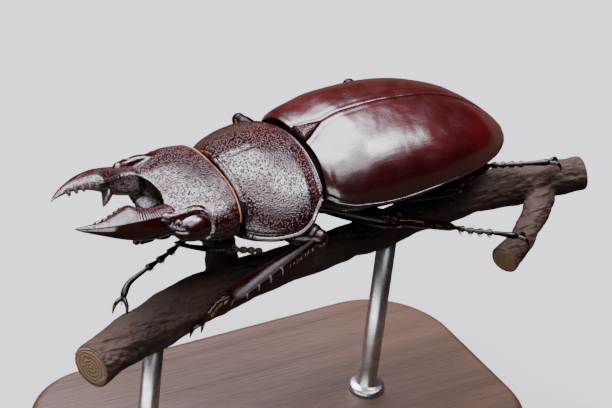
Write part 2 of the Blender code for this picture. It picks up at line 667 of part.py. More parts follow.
def main():
    pronotum = make_pronotum()
    prosternum = make_prosternum()
    thorax = underside("hind_thorax", 0.1, THORAX_END - MID_GAP, 5, LEG_DARK)
    abdomen = underside("abdomen", THORAX_END + MID_GAP, 24.0, 8, LEG_DARK)
    make_scutellum()
    for side in SIDES:
        make_wing_case(side)
    head = make_head()
    labrum = make_labrum()
    make_mentum()
    eyes = [make_eye(side) for side in SIDES]
    jaws = [make_mandible(side) for side in SIDES]
    feelers = [make_antenna(side) for side in SIDES]
    clear_of(head, [*eyes, labrum, *jaws, *feelers])
    clear_of(labrum, jaws)
    clear_of(prosternum, feelers)
    femora = {leg: make_femur(leg) for leg in LEGS}
    tibiae = {leg: make_tibia(leg) for leg in LEGS}
    tarsi = {leg: make_tarsus(leg) for leg in LEGS}
    for leg in LEGS:
        clear_of(femora[leg], [tibiae[leg]])
        clear_of(tibiae[leg], [tarsi[leg]])
    clear_of(pronotum, [femora["front_left"]])
    clear_of(prosternum, [femora["front_left"], femora["front_right"]])
    clear_of(thorax, [femora[leg] for leg in LEGS if not leg.startswith("front")])
    clear_of(abdomen, [femora["hind_left"], femora["hind_right"]])
    branch = make_branch()
    rods = [make_rod("stand_rod_" + name, y) for name, y in zip(("front", "rear"), ROD_PLACES)]
    clear_of(branch, [*rods, *tarsi.values()])
    make_stand_base()
    set_down()


def set_down():
    """Moves everything so that the middle of its box is over the origin and its base stands on Z = 0."""
    bpy.context.view_layer.update()
    corners = [obj.matrix_world @ v.co for obj in BEETLE.objects for v in obj.data.vertices]
    low = Vector([min(c[i] for c in corners) for i in range(3)])
    high = Vector([max(c[i] for c in corners) for i in range(3)])
    move = -Vector(((low.x + high.x) / 2, (low.y + high.y) / 2, low.z))
    for obj in BEETLE.objects:
        obj.location = move


main()
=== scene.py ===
"""A male stag beetle at life size on a display perch: its fine pieces, hair, surfaces, light and camera.

Lengths are in millimetres in the beetle's own frame (X to its left, Y to its tail, Z up, Y = 0 at the hind
edge of the pronotum), and `placed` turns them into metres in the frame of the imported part.
"""

import json
from math import cos, pi, radians, sin, tau

import bmesh
import bpy
import numpy as np
from mathutils import Matrix, Vector
from mathutils.kdtree import KDTree

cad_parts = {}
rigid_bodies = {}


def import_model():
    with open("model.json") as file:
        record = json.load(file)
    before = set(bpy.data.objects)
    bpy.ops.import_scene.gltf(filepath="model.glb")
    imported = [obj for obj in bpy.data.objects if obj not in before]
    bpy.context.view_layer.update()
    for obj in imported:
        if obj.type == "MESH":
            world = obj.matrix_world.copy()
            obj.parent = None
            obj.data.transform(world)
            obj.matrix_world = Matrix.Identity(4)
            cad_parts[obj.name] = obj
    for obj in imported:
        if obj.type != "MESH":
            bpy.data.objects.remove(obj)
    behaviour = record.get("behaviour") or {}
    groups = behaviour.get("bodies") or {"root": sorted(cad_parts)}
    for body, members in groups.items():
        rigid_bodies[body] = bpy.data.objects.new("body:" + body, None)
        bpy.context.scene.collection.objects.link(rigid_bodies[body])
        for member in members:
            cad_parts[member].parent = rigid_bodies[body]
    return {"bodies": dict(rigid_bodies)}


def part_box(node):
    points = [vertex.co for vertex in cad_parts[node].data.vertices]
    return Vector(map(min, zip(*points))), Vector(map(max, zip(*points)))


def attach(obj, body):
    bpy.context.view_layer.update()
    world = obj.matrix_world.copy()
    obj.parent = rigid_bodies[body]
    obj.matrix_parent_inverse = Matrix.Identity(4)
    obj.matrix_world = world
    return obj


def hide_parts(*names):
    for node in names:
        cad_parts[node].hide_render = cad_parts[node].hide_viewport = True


bl_info = {
    "name": "Stag beetle display",
    "version": (1, 0, 0),
    "blender": (4, 5, 0),
    "location": "3D View > Sidebar > Stag beetle",
    "description": "Builds a life-size male stag beetle on a perch, with its surfaces, light and camera",
    "category": "Add Mesh",
}

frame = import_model()
BODY = next(iter(frame["bodies"]))
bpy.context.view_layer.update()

MM = 0.001
SIDES = {"left": 1, "right": -1}
BASE_CENTRE = (2.0, 1.0)
BASE_TOP = -29.5
BASE_LOW, BASE_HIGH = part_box("stand_base")
ORIGIN = np.array(((BASE_LOW[0] + BASE_HIGH[0]) / 2 - BASE_CENTRE[0] * MM,
                   (BASE_LOW[1] + BASE_HIGH[1]) / 2 - BASE_CENTRE[1] * MM,
                   BASE_HIGH[2] - BASE_TOP * MM))


# ---------------------------------------------------------------- shapes as arrays of points

def eased(stations, places):
    """Values at places along (place, value) stations, on a smooth curve that never overshoots."""
    x, y = np.array(stations, float).T
    step = np.diff(x)
    rise = np.diff(y) / step
    before, after = rise[:-1], rise[1:]
    total = np.where(before + after == 0, 1.0, before + after)
    inner = np.where(before * after > 0, 2 * before * after / total, 0.0)
    slope = np.concatenate((rise[:1], inner, rise[-1:]))
    p = np.clip(np.asarray(places, float), x[0], x[-1])
    i = np.clip(np.searchsorted(x, p, side="right") - 1, 0, len(step) - 1)
    t = (p - x[i]) / step[i]
    return (y[i] * (1 + 2 * t) * (1 - t) ** 2 + y[i + 1] * t * t * (3 - 2 * t)
            + step[i] * (slope[i] * t * (1 - t) ** 2 - slope[i + 1] * t * t * (1 - t)))


def through(points, steps):
    """A smooth path through the points (or through rows of them), with so many steps between each two."""
    p = np.array(points, float)
    ends = np.concatenate(([2 * p[0] - p[1]], p, [2 * p[-1] - p[-2]]))
    t = (np.arange(steps) / steps).reshape((-1,) + (1,) * (p.ndim - 1))
    rows = [0.5 * (2 * b + (c - a) * t + (2 * a - 5 * b + 4 * c - d) * t ** 2
                   + (3 * b - a - 3 * c + d) * t ** 3)
            for a, b, c, d in zip(ends, ends[1:], ends[2:], ends[3:])]
    return np.concatenate((*rows, p[-1:]))


def unit(v):
    return v / np.maximum(np.linalg.norm(v, axis=-1, keepdims=True), 1e-12)


def bump_at(distance, centre, width):
    """A smooth rise of height 1 at a distance."""
    return np.exp(-((distance - centre) / width) ** 2)


def mound(x, y, centre, widths):
    """A smooth rise of height 1 round a place."""
    return bump_at(x, centre[0], widths[0]) * bump_at(y, centre[1], widths[1])


def full(v, fullness):
    """A sine or cosine reshaped, so that 2 draws an ellipse and more draws a squarer curve."""
    return np.sign(v) * np.abs(v) ** (2 / fullness)


def eased_each(places, values, at):
    """Each column of values at the places, eased to the places `at`."""
    return [eased(np.stack((places, column), -1), at) for column in np.array(values, float).T]


def run_of(path):
    """The distance run along a path at each of its points."""
    return np.concatenate(([0], np.cumsum(np.linalg.norm(np.diff(path, axis=0), axis=1))))


def between(path, run, at):
    """Points on a path where its run is `at`."""
    return np.stack([np.interp(at, run, column) for column in path.T], -1)


def skin(rings):
    """(points, faces) of a closed skin over rings of shape (rows, around, 3), with a fan over each end."""
    rings = np.asarray(rings, float)
    rows, around = rings.shape[:2]
    index = np.arange(rows * around).reshape(rows, around)
    turned = np.roll(index, -1, axis=1)
    quads = np.stack((index[:-1], turned[:-1], turned[1:], index[1:]), -1).reshape(-1, 4)
    hub = rows * around
    fans = np.vstack((np.stack((turned[0], index[0], np.full(around, hub)), -1),
                      np.stack((index[-1], turned[-1], np.full(around, hub + 1)), -1)))
    points = np.vstack((rings.reshape(-1, 3), rings[0].mean(0), rings[-1].mean(0)))
    return points, quads.tolist() + fans.tolist()


def lipped(rings, lip=0.12, depth=0.9):
    """The rings with each end rolled over a small lip into a recess."""
    rings = np.asarray(rings, float)
    ends = []
    for ring, inward in ((rings[0], rings[6] - rings[0]), (rings[-1], rings[-7] - rings[-1])):
        way = unit(inward.mean(0))
        to_middle = unit(ring.mean(0) - ring)
        turns = [(1 - cos(a), lip * 0.6 * sin(a)) for a in (0.5, 1.0, 1.57)]
        ends.append([ring + to_middle * lip * share - way * out
                     for share, out in (*turns, (2.2, -depth * 0.25), (3, -depth))])
    return np.concatenate((ends[0][::-1], rings, ends[1]))


def tube(points, sizes, sides=20, steps=8, across=(0, 0, 1), fullness=2.0, round_ends=0):
    """A bent, tapering member. Each size is its radius, or (half thickness along `across`, half width)."""
    path = through(points, steps)
    last = len(path) - 1
    at = np.arange(last + 1)
    pairs = [np.broadcast_to(size, 2) for size in sizes]
    thick, wide = eased_each(np.linspace(0, last, len(sizes)), pairs, at)
    if round_ends:
        far = np.minimum(np.minimum(at, last - at) / round_ends, 1)
        narrow = np.sqrt(np.clip(1 - (1 - far) ** 2, 0.02, 1))
        thick, wide = thick * narrow, wide * narrow
    ahead = unit(path[np.minimum(at + 1, last)] - path[np.maximum(at - 1, 0)])
    side = unit(np.cross(ahead, np.array(across, float)))
    up = np.cross(side, ahead)
    turn = tau * (np.arange(sides) + 0.5) / sides
    c, s = (full(v, fullness) for v in (np.cos(turn), np.sin(turn)))
    return skin(path[:, None] + side[:, None] * (wide[:, None] * c)[..., None]
                + up[:, None] * (thick[:, None] * s)[..., None])


def turned(profile, sides, centre=(0, 0), squash=1.0):
    """A shape turned round a vertical axis, from a profile of (radius, height)."""
    turn = tau * np.arange(sides) / sides
    return skin([np.stack((centre[0] + radius * np.cos(turn), centre[1] + radius * squash * np.sin(turn),
                           np.full(sides, height)), -1) for radius, height in profile])


def ball(centre, radii, around=32, rows=20):
    lean = np.linspace(0.04, pi - 0.04, rows)[:, None]
    turn = tau * np.arange(around)[None] / around
    shape = np.stack((np.sin(lean) * np.cos(turn), np.sin(lean) * np.sin(turn),
                      np.cos(lean) * np.ones_like(turn)), -1)
    return skin(shape * np.array(radii, float) + np.array(centre, float))


def gathered(parts):
    """Several (points, faces) as one."""
    points, faces, start = [], [], 0
    for some_points, some_faces in parts:
        points.append(some_points)
        faces += [[i + start for i in face] for face in some_faces]
        start += len(some_points)
    return np.vstack(points), faces


def mirrored(points, side):
    return np.array(points, float) * (side, 1, 1)


def normals_of(points, faces):
    """Each point's outward direction on a mesh whose faces all turn outwards."""
    found = np.zeros_like(points)
    for count in {len(f) for f in faces}:
        corner = np.array([f for f in faces if len(f) == count])
        a, b, c = (points[corner[:, k]] for k in (0, 1, 2))
        square = np.cross(b - a, c - a)
        for k in range(count):
            np.add.at(found, corner[:, k], square)
    return unit(found)


def as_mesh(name, points, faces):
    """A mesh whose faces turn outwards."""
    mesh = bpy.data.meshes.new(name)
    mesh.from_pydata(np.asarray(points).tolist(), [], faces)
    bm = bmesh.new()
    bm.from_mesh(mesh)
    bmesh.ops.recalc_face_normals(bm, faces=bm.faces)
    bm.to_mesh(mesh)
    bm.free()
    return mesh


def added(name, data):
    """A new object in the scene."""
    obj = bpy.data.objects.new(name, data)
    bpy.context.collection.objects.link(obj)
    return obj


def evaluated(obj):
    """A plain mesh of an object with its modifiers, in place of the object."""
    graph = bpy.context.evaluated_depsgraph_get()
    mesh = bpy.data.meshes.new_from_object(obj.evaluated_get(graph))
    bpy.data.objects.remove(obj)
    return mesh


def fused(parts, voxel, smoothing=4):
    """(points, faces) of one smooth skin round closed parts that overlap."""
    obj = added("fusing", as_mesh("fusing", *gathered(parts)))
    join = obj.modifiers.new("Join", "REMESH")
    join.mode = "VOXEL"
    join.voxel_size = voxel * 1.0
    soften = obj.modifiers.new("Soften", "SMOOTH")
    soften.factor = 0.5
    soften.iterations = smoothing
    mesh = evaluated(obj)
    points = np.empty(len(mesh.vertices) * 3, np.float32)
    mesh.vertices.foreach_get("co", points)
    faces = [list(p.vertices) for p in mesh.polygons]
    bpy.data.meshes.remove(mesh)
    return points.reshape(-1, 3).astype(float), faces


def placed(points):
    return np.asarray(points, float) * MM + ORIGIN


def handed_over(name, mesh, stands_for):
    """Rides a mesh on the body as a piece, shaded smooth, and hides the CAD node that it stands in for."""
    mesh.shade_smooth()
    obj = added(name, mesh)
    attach(obj, BODY)
    if stands_for:
        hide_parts(stands_for)


def marked(mesh, marks):
    """Stores named values or vectors at a mesh's points."""
    for key, values in marks.items():
        values = np.asarray(values, np.float32)
        kind, field = ("FLOAT", "value") if values.ndim == 1 else ("FLOAT_VECTOR", "vector")
        mesh.attributes.new(key, kind, "POINT").data.foreach_set(field, values.ravel())


def piece(name, part, finish, stands_for=None, **marks):
    """A finished piece from (points, faces), with named values at its points."""
    points, faces = part
    mesh = as_mesh(name, placed(points), faces)
    marked(mesh, marks)
    mesh.materials.append(surface(finish))
    handed_over(name, mesh, stands_for)


# ---------------------------------------------------------------- node helpers

def node(tree, kind, values=(), **settings):
    """Adds a node, sets it up, then fills or links its inputs by name or number."""
    made = tree.nodes.new(kind)
    for key, value in settings.items():
        setattr(made, key, value)
    for key, value in dict(values).items():
        if isinstance(value, bpy.types.NodeSocket):
            tree.links.new(value, made.inputs[key])
        else:
            made.inputs[key].default_value = value
    return made


def calc(tree, operation, *values, clamp=False):
    return node(tree, "ShaderNodeMath", enumerate(values), operation=operation, use_clamp=clamp).outputs[0]


def times(tree, first, second, plus=0.0, clamp=False):
    return calc(tree, "MULTIPLY_ADD", first, second, plus, clamp=clamp)


def vector(tree, operation, first, second):
    values = {0: first, "Scale" if operation == "SCALE" else 1: second}
    return node(tree, "ShaderNodeVectorMath", values, operation=operation).outputs[0]


def xyz(tree, *values):
    return node(tree, "ShaderNodeCombineXYZ", enumerate(values)).outputs[0]


def blended(tree, share, first, second):
    """A colour between two, by share."""
    return node(tree, "ShaderNodeMix", {0: share, 6: first, 7: second}, data_type="RGBA").outputs[2]


def ranged(tree, value, low, high, start=0.0, end=1.0):
    """value from low..high eased to start..end."""
    values = {"Value": value, "From Min": low, "From Max": high, "To Min": start, "To Max": end}
    return node(tree, "ShaderNodeMapRange", values, interpolation_type="SMOOTHSTEP").outputs["Result"]


def noise(tree, where, scale=1.0, **values):
    return node(tree, "ShaderNodeTexNoise", {"Vector": where, "Scale": scale, **values}).outputs["Fac"]


def group(kind, name, inputs, output):
    """An empty node group: (tree, its inputs, its output). Each input is (name, socket type, value)."""
    tree = bpy.data.node_groups.new(name, kind)
    for label, socket, value in inputs:
        made = tree.interface.new_socket(label, in_out="INPUT", socket_type="NodeSocket" + socket)
        if value is not None:
            made.default_value = value
    tree.interface.new_socket(output[0], in_out="OUTPUT", socket_type="NodeSocket" + output[1])
    return tree, tree.nodes.new("NodeGroupInput").outputs, tree.nodes.new("NodeGroupOutput").inputs[0]


# ---------------------------------------------------------------- surfaces

def effect(name, output, **sizes):
    """An empty shader effect: (tree, its inputs, its output, the place on the object)."""
    inputs = [(key, "Float", value) for key, value in sizes.items()]
    made = group("ShaderNodeTree", name, inputs, (output, "Float"))
    return *made, node(made[0], "ShaderNodeTexCoord").outputs["Object"]


def make_shared_effects():
    """Granules: small domes. Streaks: faint lines along the body. Patches: slow changes of shade."""
    tree, given, out, spot = effect("Granules", "Height", Size=0.0003, Seed=0.0)
    spot = vector(tree, "DIVIDE", spot, xyz(tree, *[given["Size"]] * 3))
    spot = vector(tree, "ADD", spot, xyz(tree, given["Seed"]))
    nearest = 1.0
    for shift in ((0.0, 0.0, 0.0), (31.4, 17.3, 5.5), (-12.6, 8.5, 40.5)):
        values = {"Vector": vector(tree, "ADD", spot, shift), "Scale": 1.0, "Randomness": 0.7}
        cells = node(tree, "ShaderNodeTexVoronoi", values)
        nearest = calc(tree, "MINIMUM", cells.outputs["Distance"], nearest)
    tree.links.new(ranged(tree, nearest, 0.0, 0.4, 1.0, 0.0), out)

    tree, given, out, spot = effect("Streaks", "Height", Width=0.0002, Length=0.004)
    spot = vector(tree, "DIVIDE", spot, xyz(tree, given["Width"], given["Length"], given["Width"]))
    tree.links.new(noise(tree, spot, Detail=2.0, Roughness=0.6), out)

    tree, given, out, spot = effect("Patches", "Share", Size=0.003, Detail=3.0)
    spot = vector(tree, "DIVIDE", spot, xyz(tree, *[given["Size"]] * 3))
    tree.links.new(ranged(tree, noise(tree, spot, Detail=given["Detail"]), 0.32, 0.68), out)


def used(tree, name, **values):
    """The output of a shared effect at these sizes."""
    return node(tree, "ShaderNodeGroup", values, node_tree=bpy.data.node_groups[name]).outputs[0]


def mark(tree, name):
    return node(tree, "ShaderNodeAttribute", attribute_name=name, attribute_type="GEOMETRY").outputs["Fac"]


def new_surface(name, **constants):
    """A material with its Principled shader's constants set: (tree, shader)."""
    made = bpy.data.materials.new(name)
    made.use_nodes = True
    shader = made.node_tree.nodes["Principled BSDF"]
    for key, value in constants.items():
        shader.inputs[key.replace("_", " ")].default_value = value
    return made.node_tree, shader


def wired(tree, shader, colour, roughness, height, distance):
    """Feeds a shader its colour, roughness and relief."""
    relief = node(tree, "ShaderNodeBump", {"Height": height, "Distance": distance, "Strength": 1.0})
    for key, value in (("Base Color", colour), ("Roughness", roughness), ("Normal", relief.outputs[0])):
        tree.links.new(value, shader.inputs[key])


def shade(colour, factor=1.0):
    return (*(c * factor for c in tuple(colour)[:3]), 1.0)


def shaded(tree, share, colour, low, high):
    """A colour drifting between two strengths."""
    return blended(tree, share, shade(colour, low), shade(colour, high))


def make_granulated(name, settings):
    """Head and pronotum: fine close granules above, coarser ones standing apart down the flanks."""
    tree, shader = new_surface(name, IOR=1.6, Coat_Weight=0.12, Coat_Roughness=0.2)
    flank, sleek, smooth_painted_shade = (mark(tree, key) for key in ("flank", "sleek", "smooth_painted_shade"))
    fine = used(tree, "Granules", Size=settings.granule_size * 0.8)
    coarse = used(tree, "Granules", Size=settings.granule_size, Seed=7.0)
    patches = used(tree, "Patches", Size=0.0035)
    hard = times(tree, times(tree, coarse, 2.0, -0.9, clamp=True), times(tree, flank, 4.0))
    soft = times(tree, fine, times(tree, flank, -0.4, 0.7))
    height = times(tree, calc(tree, "MAXIMUM", soft, hard), times(tree, sleek, -0.85, 1.0))
    height = times(tree, height, times(tree, smooth_painted_shade, -0.7, 1.0))
    colour = shaded(tree, patches, settings.body_colour, 0.7, 1.4)
    # Painted shade: the head's canthus flanges, the recess of its face and its underside at the front are
    # coloured near black to stand in for shade. The same mark lowers their granules and makes them a little
    # sleeker.
    colour = blended(tree, smooth_painted_shade, colour, shade(settings.body_colour, 0.3))
    rough = times(tree, sleek, -0.06, times(tree, patches, 0.06, 0.15))
    wired(tree, shader, colour, times(tree, smooth_painted_shade, -0.04, rough), height, 0.0001)


def make_polished(name, settings):
    """Wing cases: smooth, with faint streaks and pinpoint pits, darker and less red down the sides in painted
    shade.
    """
    tree, shader = new_surface(name, IOR=1.6, Specular_IOR_Level=0.7, Coat_Weight=0.3, Coat_Roughness=0.1)
    streaks = used(tree, "Streaks", Width=0.00022, Length=0.003)
    pits = used(tree, "Granules", Size=0.00022, Seed=3.0)
    clouds = used(tree, "Patches", Size=0.0022, Detail=1.0)
    colour = shaded(tree, used(tree, "Patches", Size=0.005), settings.wing_colour, 0.75, 1.3)
    # Painted shade: the lower sides turn darker and less red, standing in for the shade as the cases curve away
    # from the light.
    colour = blended(tree, times(tree, mark(tree, "flank"), 0.6), colour, shade(settings.body_colour, 0.8))
    rough = times(tree, streaks, 0.14, times(tree, clouds, 0.07, 0.14))
    height = times(tree, pits, -0.35, times(tree, clouds, 3.0, streaks))
    wired(tree, shader, colour, rough, height, 0.000012)


def make_jaw_surface(name, settings):
    """Mandibles: fine cross ribs on the upper face, paler along them in painted highlight, and a smooth dark
    outer side.
    """
    tree, shader = new_surface(name, IOR=1.6, Coat_Weight=0.25, Coat_Roughness=0.1)
    upper, along, crest = (mark(tree, key) for key in ("upper", "along", "crest"))
    ribs = times(tree, calc(tree, "SINE", times(tree, along, tau / RIB_PITCH)), 0.5, 0.5)
    ribs = times(tree, ribs, times(tree, upper, times(tree, crest, -1.0, 1.0)))
    grains = times(tree, used(tree, "Granules", Size=0.0002), crest)
    streaks = used(tree, "Patches", Size=0.0005)
    colour = shaded(tree, used(tree, "Patches", Size=0.002), settings.body_colour, 0.6, 1.3)
    # The ribs are real relief; their paler stripes on the upper face are a painted highlight along them.
    colour = blended(tree, times(tree, ribs, 0.4), colour, shade(settings.body_colour, 1.6))
    rough = times(tree, crest, 0.05, times(tree, streaks, 0.06, 0.11))
    height = times(tree, grains, 3.5, times(tree, streaks, 0.15, ribs))
    wired(tree, shader, colour, rough, height, 0.00003)


def make_limb_surface(name, settings, gloss=0.38, coat=0.12):
    """Legs and underside: glossy, near black with red in it, finely pitted."""
    tree, shader = new_surface(name, IOR=1.5, Specular_IOR_Level=gloss, Coat_Weight=coat, Coat_Roughness=0.12)
    pits = used(tree, "Granules", Size=0.00026, Seed=11.0)
    patches = used(tree, "Patches", Size=0.0016)
    colour = shaded(tree, patches, settings.limb_colour, 0.6, 1.6)
    wired(tree, shader, colour, times(tree, patches, 0.14, 0.18), times(tree, pits, -0.7, patches), 0.000016)


def make_shin_surface(name, settings):
    """Shins, their thorns and the hidden thighs: as the legs, but matte."""
    make_limb_surface(name, settings, 0.12, 0.02)


def make_club_surface(name, settings):
    """The antennae's clubs: matte brown velvet."""
    tree, shader = new_surface(name, IOR=1.4, Specular_IOR_Level=0.25, Sheen_Weight=0.015, Sheen_Roughness=0.5)
    nap = used(tree, "Granules", Size=0.00009)
    patches = used(tree, "Patches", Size=0.0007)
    colour = blended(tree, patches, (0.003, 0.0014, 0.0008, 1), (0.009, 0.004, 0.002, 1))
    wired(tree, shader, colour, times(tree, nap, 0.2, 0.55), nap, 0.00002)


def make_lip_surface(name, settings):
    """Labrum: a paler, waxy plate, painted near black towards its root as the shade where it goes in under the
    head.
    """
    tree, shader = new_surface(name, IOR=1.4, Coat_Weight=0.04, Coat_Roughness=0.2)
    grain = used(tree, "Granules", Size=0.0003, Seed=5.0)
    patches = used(tree, "Patches", Size=0.0009)
    colour = blended(tree, patches, (0.028, 0.021, 0.022, 1), (0.065, 0.052, 0.054, 1))
    # Painted shade: near black towards the root, where the lip goes in under the head.
    colour = blended(tree, mark(tree, "root"), colour, (0.004, 0.001, 0.001, 1))
    wired(tree, shader, colour, times(tree, patches, 0.12, 0.3), grain, 0.00006)


def make_membrane(name, settings):
    """The soft neck between plates: matte and nearly black."""
    tree, shader = new_surface(name, IOR=1.3, Specular_IOR_Level=0.15)
    folds = used(tree, "Streaks", Width=0.0006, Length=0.0002)
    patches = used(tree, "Patches", Size=0.001)
    colour = blended(tree, patches, (0.002, 0.001, 0.001, 1), (0.006, 0.0022, 0.002, 1))
    wired(tree, shader, colour, times(tree, patches, 0.2, 0.6), folds, 0.0001)


def make_eye_surface(name, settings):
    """Compound eyes: mirror-smooth dark red with facets just too fine to see."""
    tree, shader = new_surface(name, IOR=1.6, Coat_Weight=0.6, Coat_Roughness=0.03)
    facets = used(tree, "Granules", Size=0.00005, Seed=2.0)
    patches = used(tree, "Patches", Size=0.0012)
    colour = shaded(tree, patches, settings.eye_colour, 0.35, 1.3)
    wired(tree, shader, colour, times(tree, patches, 0.04, 0.07), facets, 0.0000015)


def make_hair_surface(name, settings):
    tree, shader = new_surface(name, IOR=1.5, Specular_IOR_Level=0.6)
    patches = used(tree, "Patches", Size=0.0006)
    fine = used(tree, "Granules", Size=0.00005)
    colour = shaded(tree, patches, settings.hair_colour, 0.7, 1.25)
    wired(tree, shader, colour, times(tree, patches, 0.15, 0.32), fine, 0.000004)


def make_bark_surface(name, settings):
    """The branch: ridged and scaly, dusty on its high parts and painted dark in its cracks as shade."""
    tree, shader = new_surface(name, IOR=1.45, Specular_IOR_Level=0.35)
    ridges = used(tree, "Streaks", Width=0.0007, Length=0.005)
    scales = used(tree, "Granules", Size=0.0011, Seed=4.0)
    dust = used(tree, "Patches", Size=0.0009, Detail=5.0)
    colour = shaded(tree, used(tree, "Patches", Size=0.006, Detail=6.0), settings.bark_colour, 0.55, 1.35)
    colour = blended(tree, times(tree, dust, 0.3), colour, (0.062, 0.040, 0.027, 1))
    # Painted shade: the cracks between the ridges are coloured dark.
    colour = blended(tree, ranged(tree, ridges, 0.36, 0.5, 0.65, 0.0), colour, (0.020, 0.012, 0.008, 1))
    height = times(tree, dust, 0.25, times(tree, ridges, 1.6, times(tree, scales, 0.35)))
    wired(tree, shader, colour, times(tree, dust, 0.2, 0.68), height, 0.0003)


def make_cut_surface(name, settings):
    """A sawn end: pale wood with year rings round its middle."""
    tree, shader = new_surface(name, IOR=1.45, Specular_IOR_Level=0.3)
    out = mark(tree, "ring")
    waver = times(tree, used(tree, "Patches", Size=0.001), 3.0)
    rings = times(tree, calc(tree, "SINE", times(tree, out, RING_PHASE, waver)), 0.5, 0.5)
    grain = used(tree, "Patches", Size=0.00025, Detail=4.0)
    colour = blended(tree, rings, (0.36, 0.23, 0.12, 1), (0.55, 0.40, 0.23, 1))
    colour = blended(tree, ranged(tree, out, 0.84, 0.97), colour, (0.05, 0.03, 0.018, 1))
    wired(tree, shader, colour, times(tree, grain, 0.15, 0.65), calc(tree, "ADD", rings, grain), 0.00005)


def make_stand_wood(name, settings):
    """The base: stained wood with a broad grain and fine dark pores."""
    tree, shader = new_surface(name, IOR=1.4, Coat_Weight=0.08, Coat_Roughness=0.35)
    stain = settings.stand_colour
    grain = used(tree, "Streaks", Width=0.0016, Length=0.05)
    pores = used(tree, "Streaks", Width=0.00025, Length=0.004)
    patches = used(tree, "Patches", Size=0.03)
    colour = shaded(tree, ranged(tree, grain, 0.3, 0.7), stain, 0.7, 1.15)
    colour = blended(tree, times(tree, patches, 0.3), colour, shade(stain, 0.8))
    colour = blended(tree, ranged(tree, pores, 0.32, 0.42, 0.5, 0.0), colour, shade(stain, 0.35))
    wired(tree, shader, colour, times(tree, grain, 0.18, 0.36), calc(tree, "ADD", grain, pores), 0.00006)


def make_steel(name, settings):
    tree, shader = new_surface(name, Metallic=1.0)
    brushed = used(tree, "Streaks", Width=0.00012, Length=0.00012)
    patches = used(tree, "Patches", Size=0.0012)
    colour = blended(tree, patches, (0.46, 0.46, 0.48, 1), (0.60, 0.60, 0.61, 1))
    wired(tree, shader, colour, times(tree, brushed, 0.2, 0.2), brushed, 0.000008)


def make_floor_surface(name, settings):
    """The floor: pale to the camera, dim and warm to the beetle's gloss."""
    tree, shader = new_surface(name, IOR=1.4, Specular_IOR_Level=0.2)
    tooth = used(tree, "Patches", Size=0.0012)
    colour = shaded(tree, used(tree, "Patches", Size=0.05, Detail=4.0), settings.floor_colour, 0.97, 1.03)
    seen = node(tree, "ShaderNodeLightPath").outputs["Is Camera Ray"]
    colour = blended(tree, seen, FLOOR_IN_REFLECTIONS, colour)
    wired(tree, shader, colour, times(tree, tooth, 0.1, 0.75), tooth, 0.00002)


RIB_PITCH = 0.24
RING_PHASE = 34.0
FLOOR_IN_REFLECTIONS = (0.030, 0.017, 0.010, 1)
# Each surface: the finish of the part that it goes with, and what makes it.
FINISHES = {
    "Granulated cuticle": ("cuticle_body", make_granulated), "Jaw cuticle": ("cuticle_body", make_jaw_surface),
    "Limb cuticle": ("cuticle_limb", make_limb_surface), "Shin cuticle": ("cuticle_limb", make_shin_surface),
    "Club velvet": ("cuticle_limb", make_club_surface), "Lip cuticle": ("cuticle_limb", make_lip_surface),
    "Neck membrane": ("cuticle_limb", make_membrane), "Polished cuticle": ("cuticle_wing", make_polished),
    "Eye facets": ("eye", make_eye_surface), "Golden hair": ("hair", make_hair_surface),
    "Bark": ("bark", make_bark_surface), "Cut wood": ("bark", make_cut_surface),
    "Stand wood": ("stand_wood", make_stand_wood), "Stand steel": ("stand_steel", make_steel),
    "Floor": (None, make_floor_surface),
}


def surface(name):
    """The named material, made the first time it is asked for."""
    if "Granules" not in bpy.data.node_groups:
        make_shared_effects()
    if name not in bpy.data.materials:
        FINISHES[name][1](name, bpy.context.scene.stag_beetle)
    return bpy.data.materials[name]


# ---------------------------------------------------------------- geometry trees

def named(tree, name, kind="FLOAT_VECTOR"):
    return node(tree, "GeometryNodeInputNamedAttribute", {"Name": name}, data_type=kind).outputs["Attribute"]


def stored(tree, geometry, name, value, kind="FLOAT", domain="POINT"):
    values = {"Geometry": geometry, "Name": name, "Value": value}
    return node(tree, "GeometryNodeStoreNamedAttribute", values, data_type=kind, domain=domain).outputs[0]


def repeated(tree, given, shape, turn, size):
    values = {"Points": given["Geometry"], "Instance": shape, "Rotation": turn, "Scale": size}
    return node(tree, "GeometryNodeInstanceOnPoints", values).outputs[0]


def shifted(tree, geometry, offset):
    return node(tree, "GeometryNodeSetPosition", {"Geometry": geometry, "Offset": offset}).outputs[0]


def ended(tree, geometry, given, out):
    """Closes a tree: real geometry, with its material."""
    whole = node(tree, "GeometryNodeRealizeInstances", {"Geometry": geometry}).outputs[0]
    dressed = node(tree, "GeometryNodeSetMaterial", {"Geometry": whole, "Material": given["Material"]})
    tree.links.new(dressed.outputs[0], out)


def geometry_group(name, *inputs):
    every = (("Geometry", "Geometry", None), *inputs, ("Seed", "Int", 1), ("Material", "Material", None))
    return group("GeometryNodeTree", name, every, ("Geometry", "Geometry"))


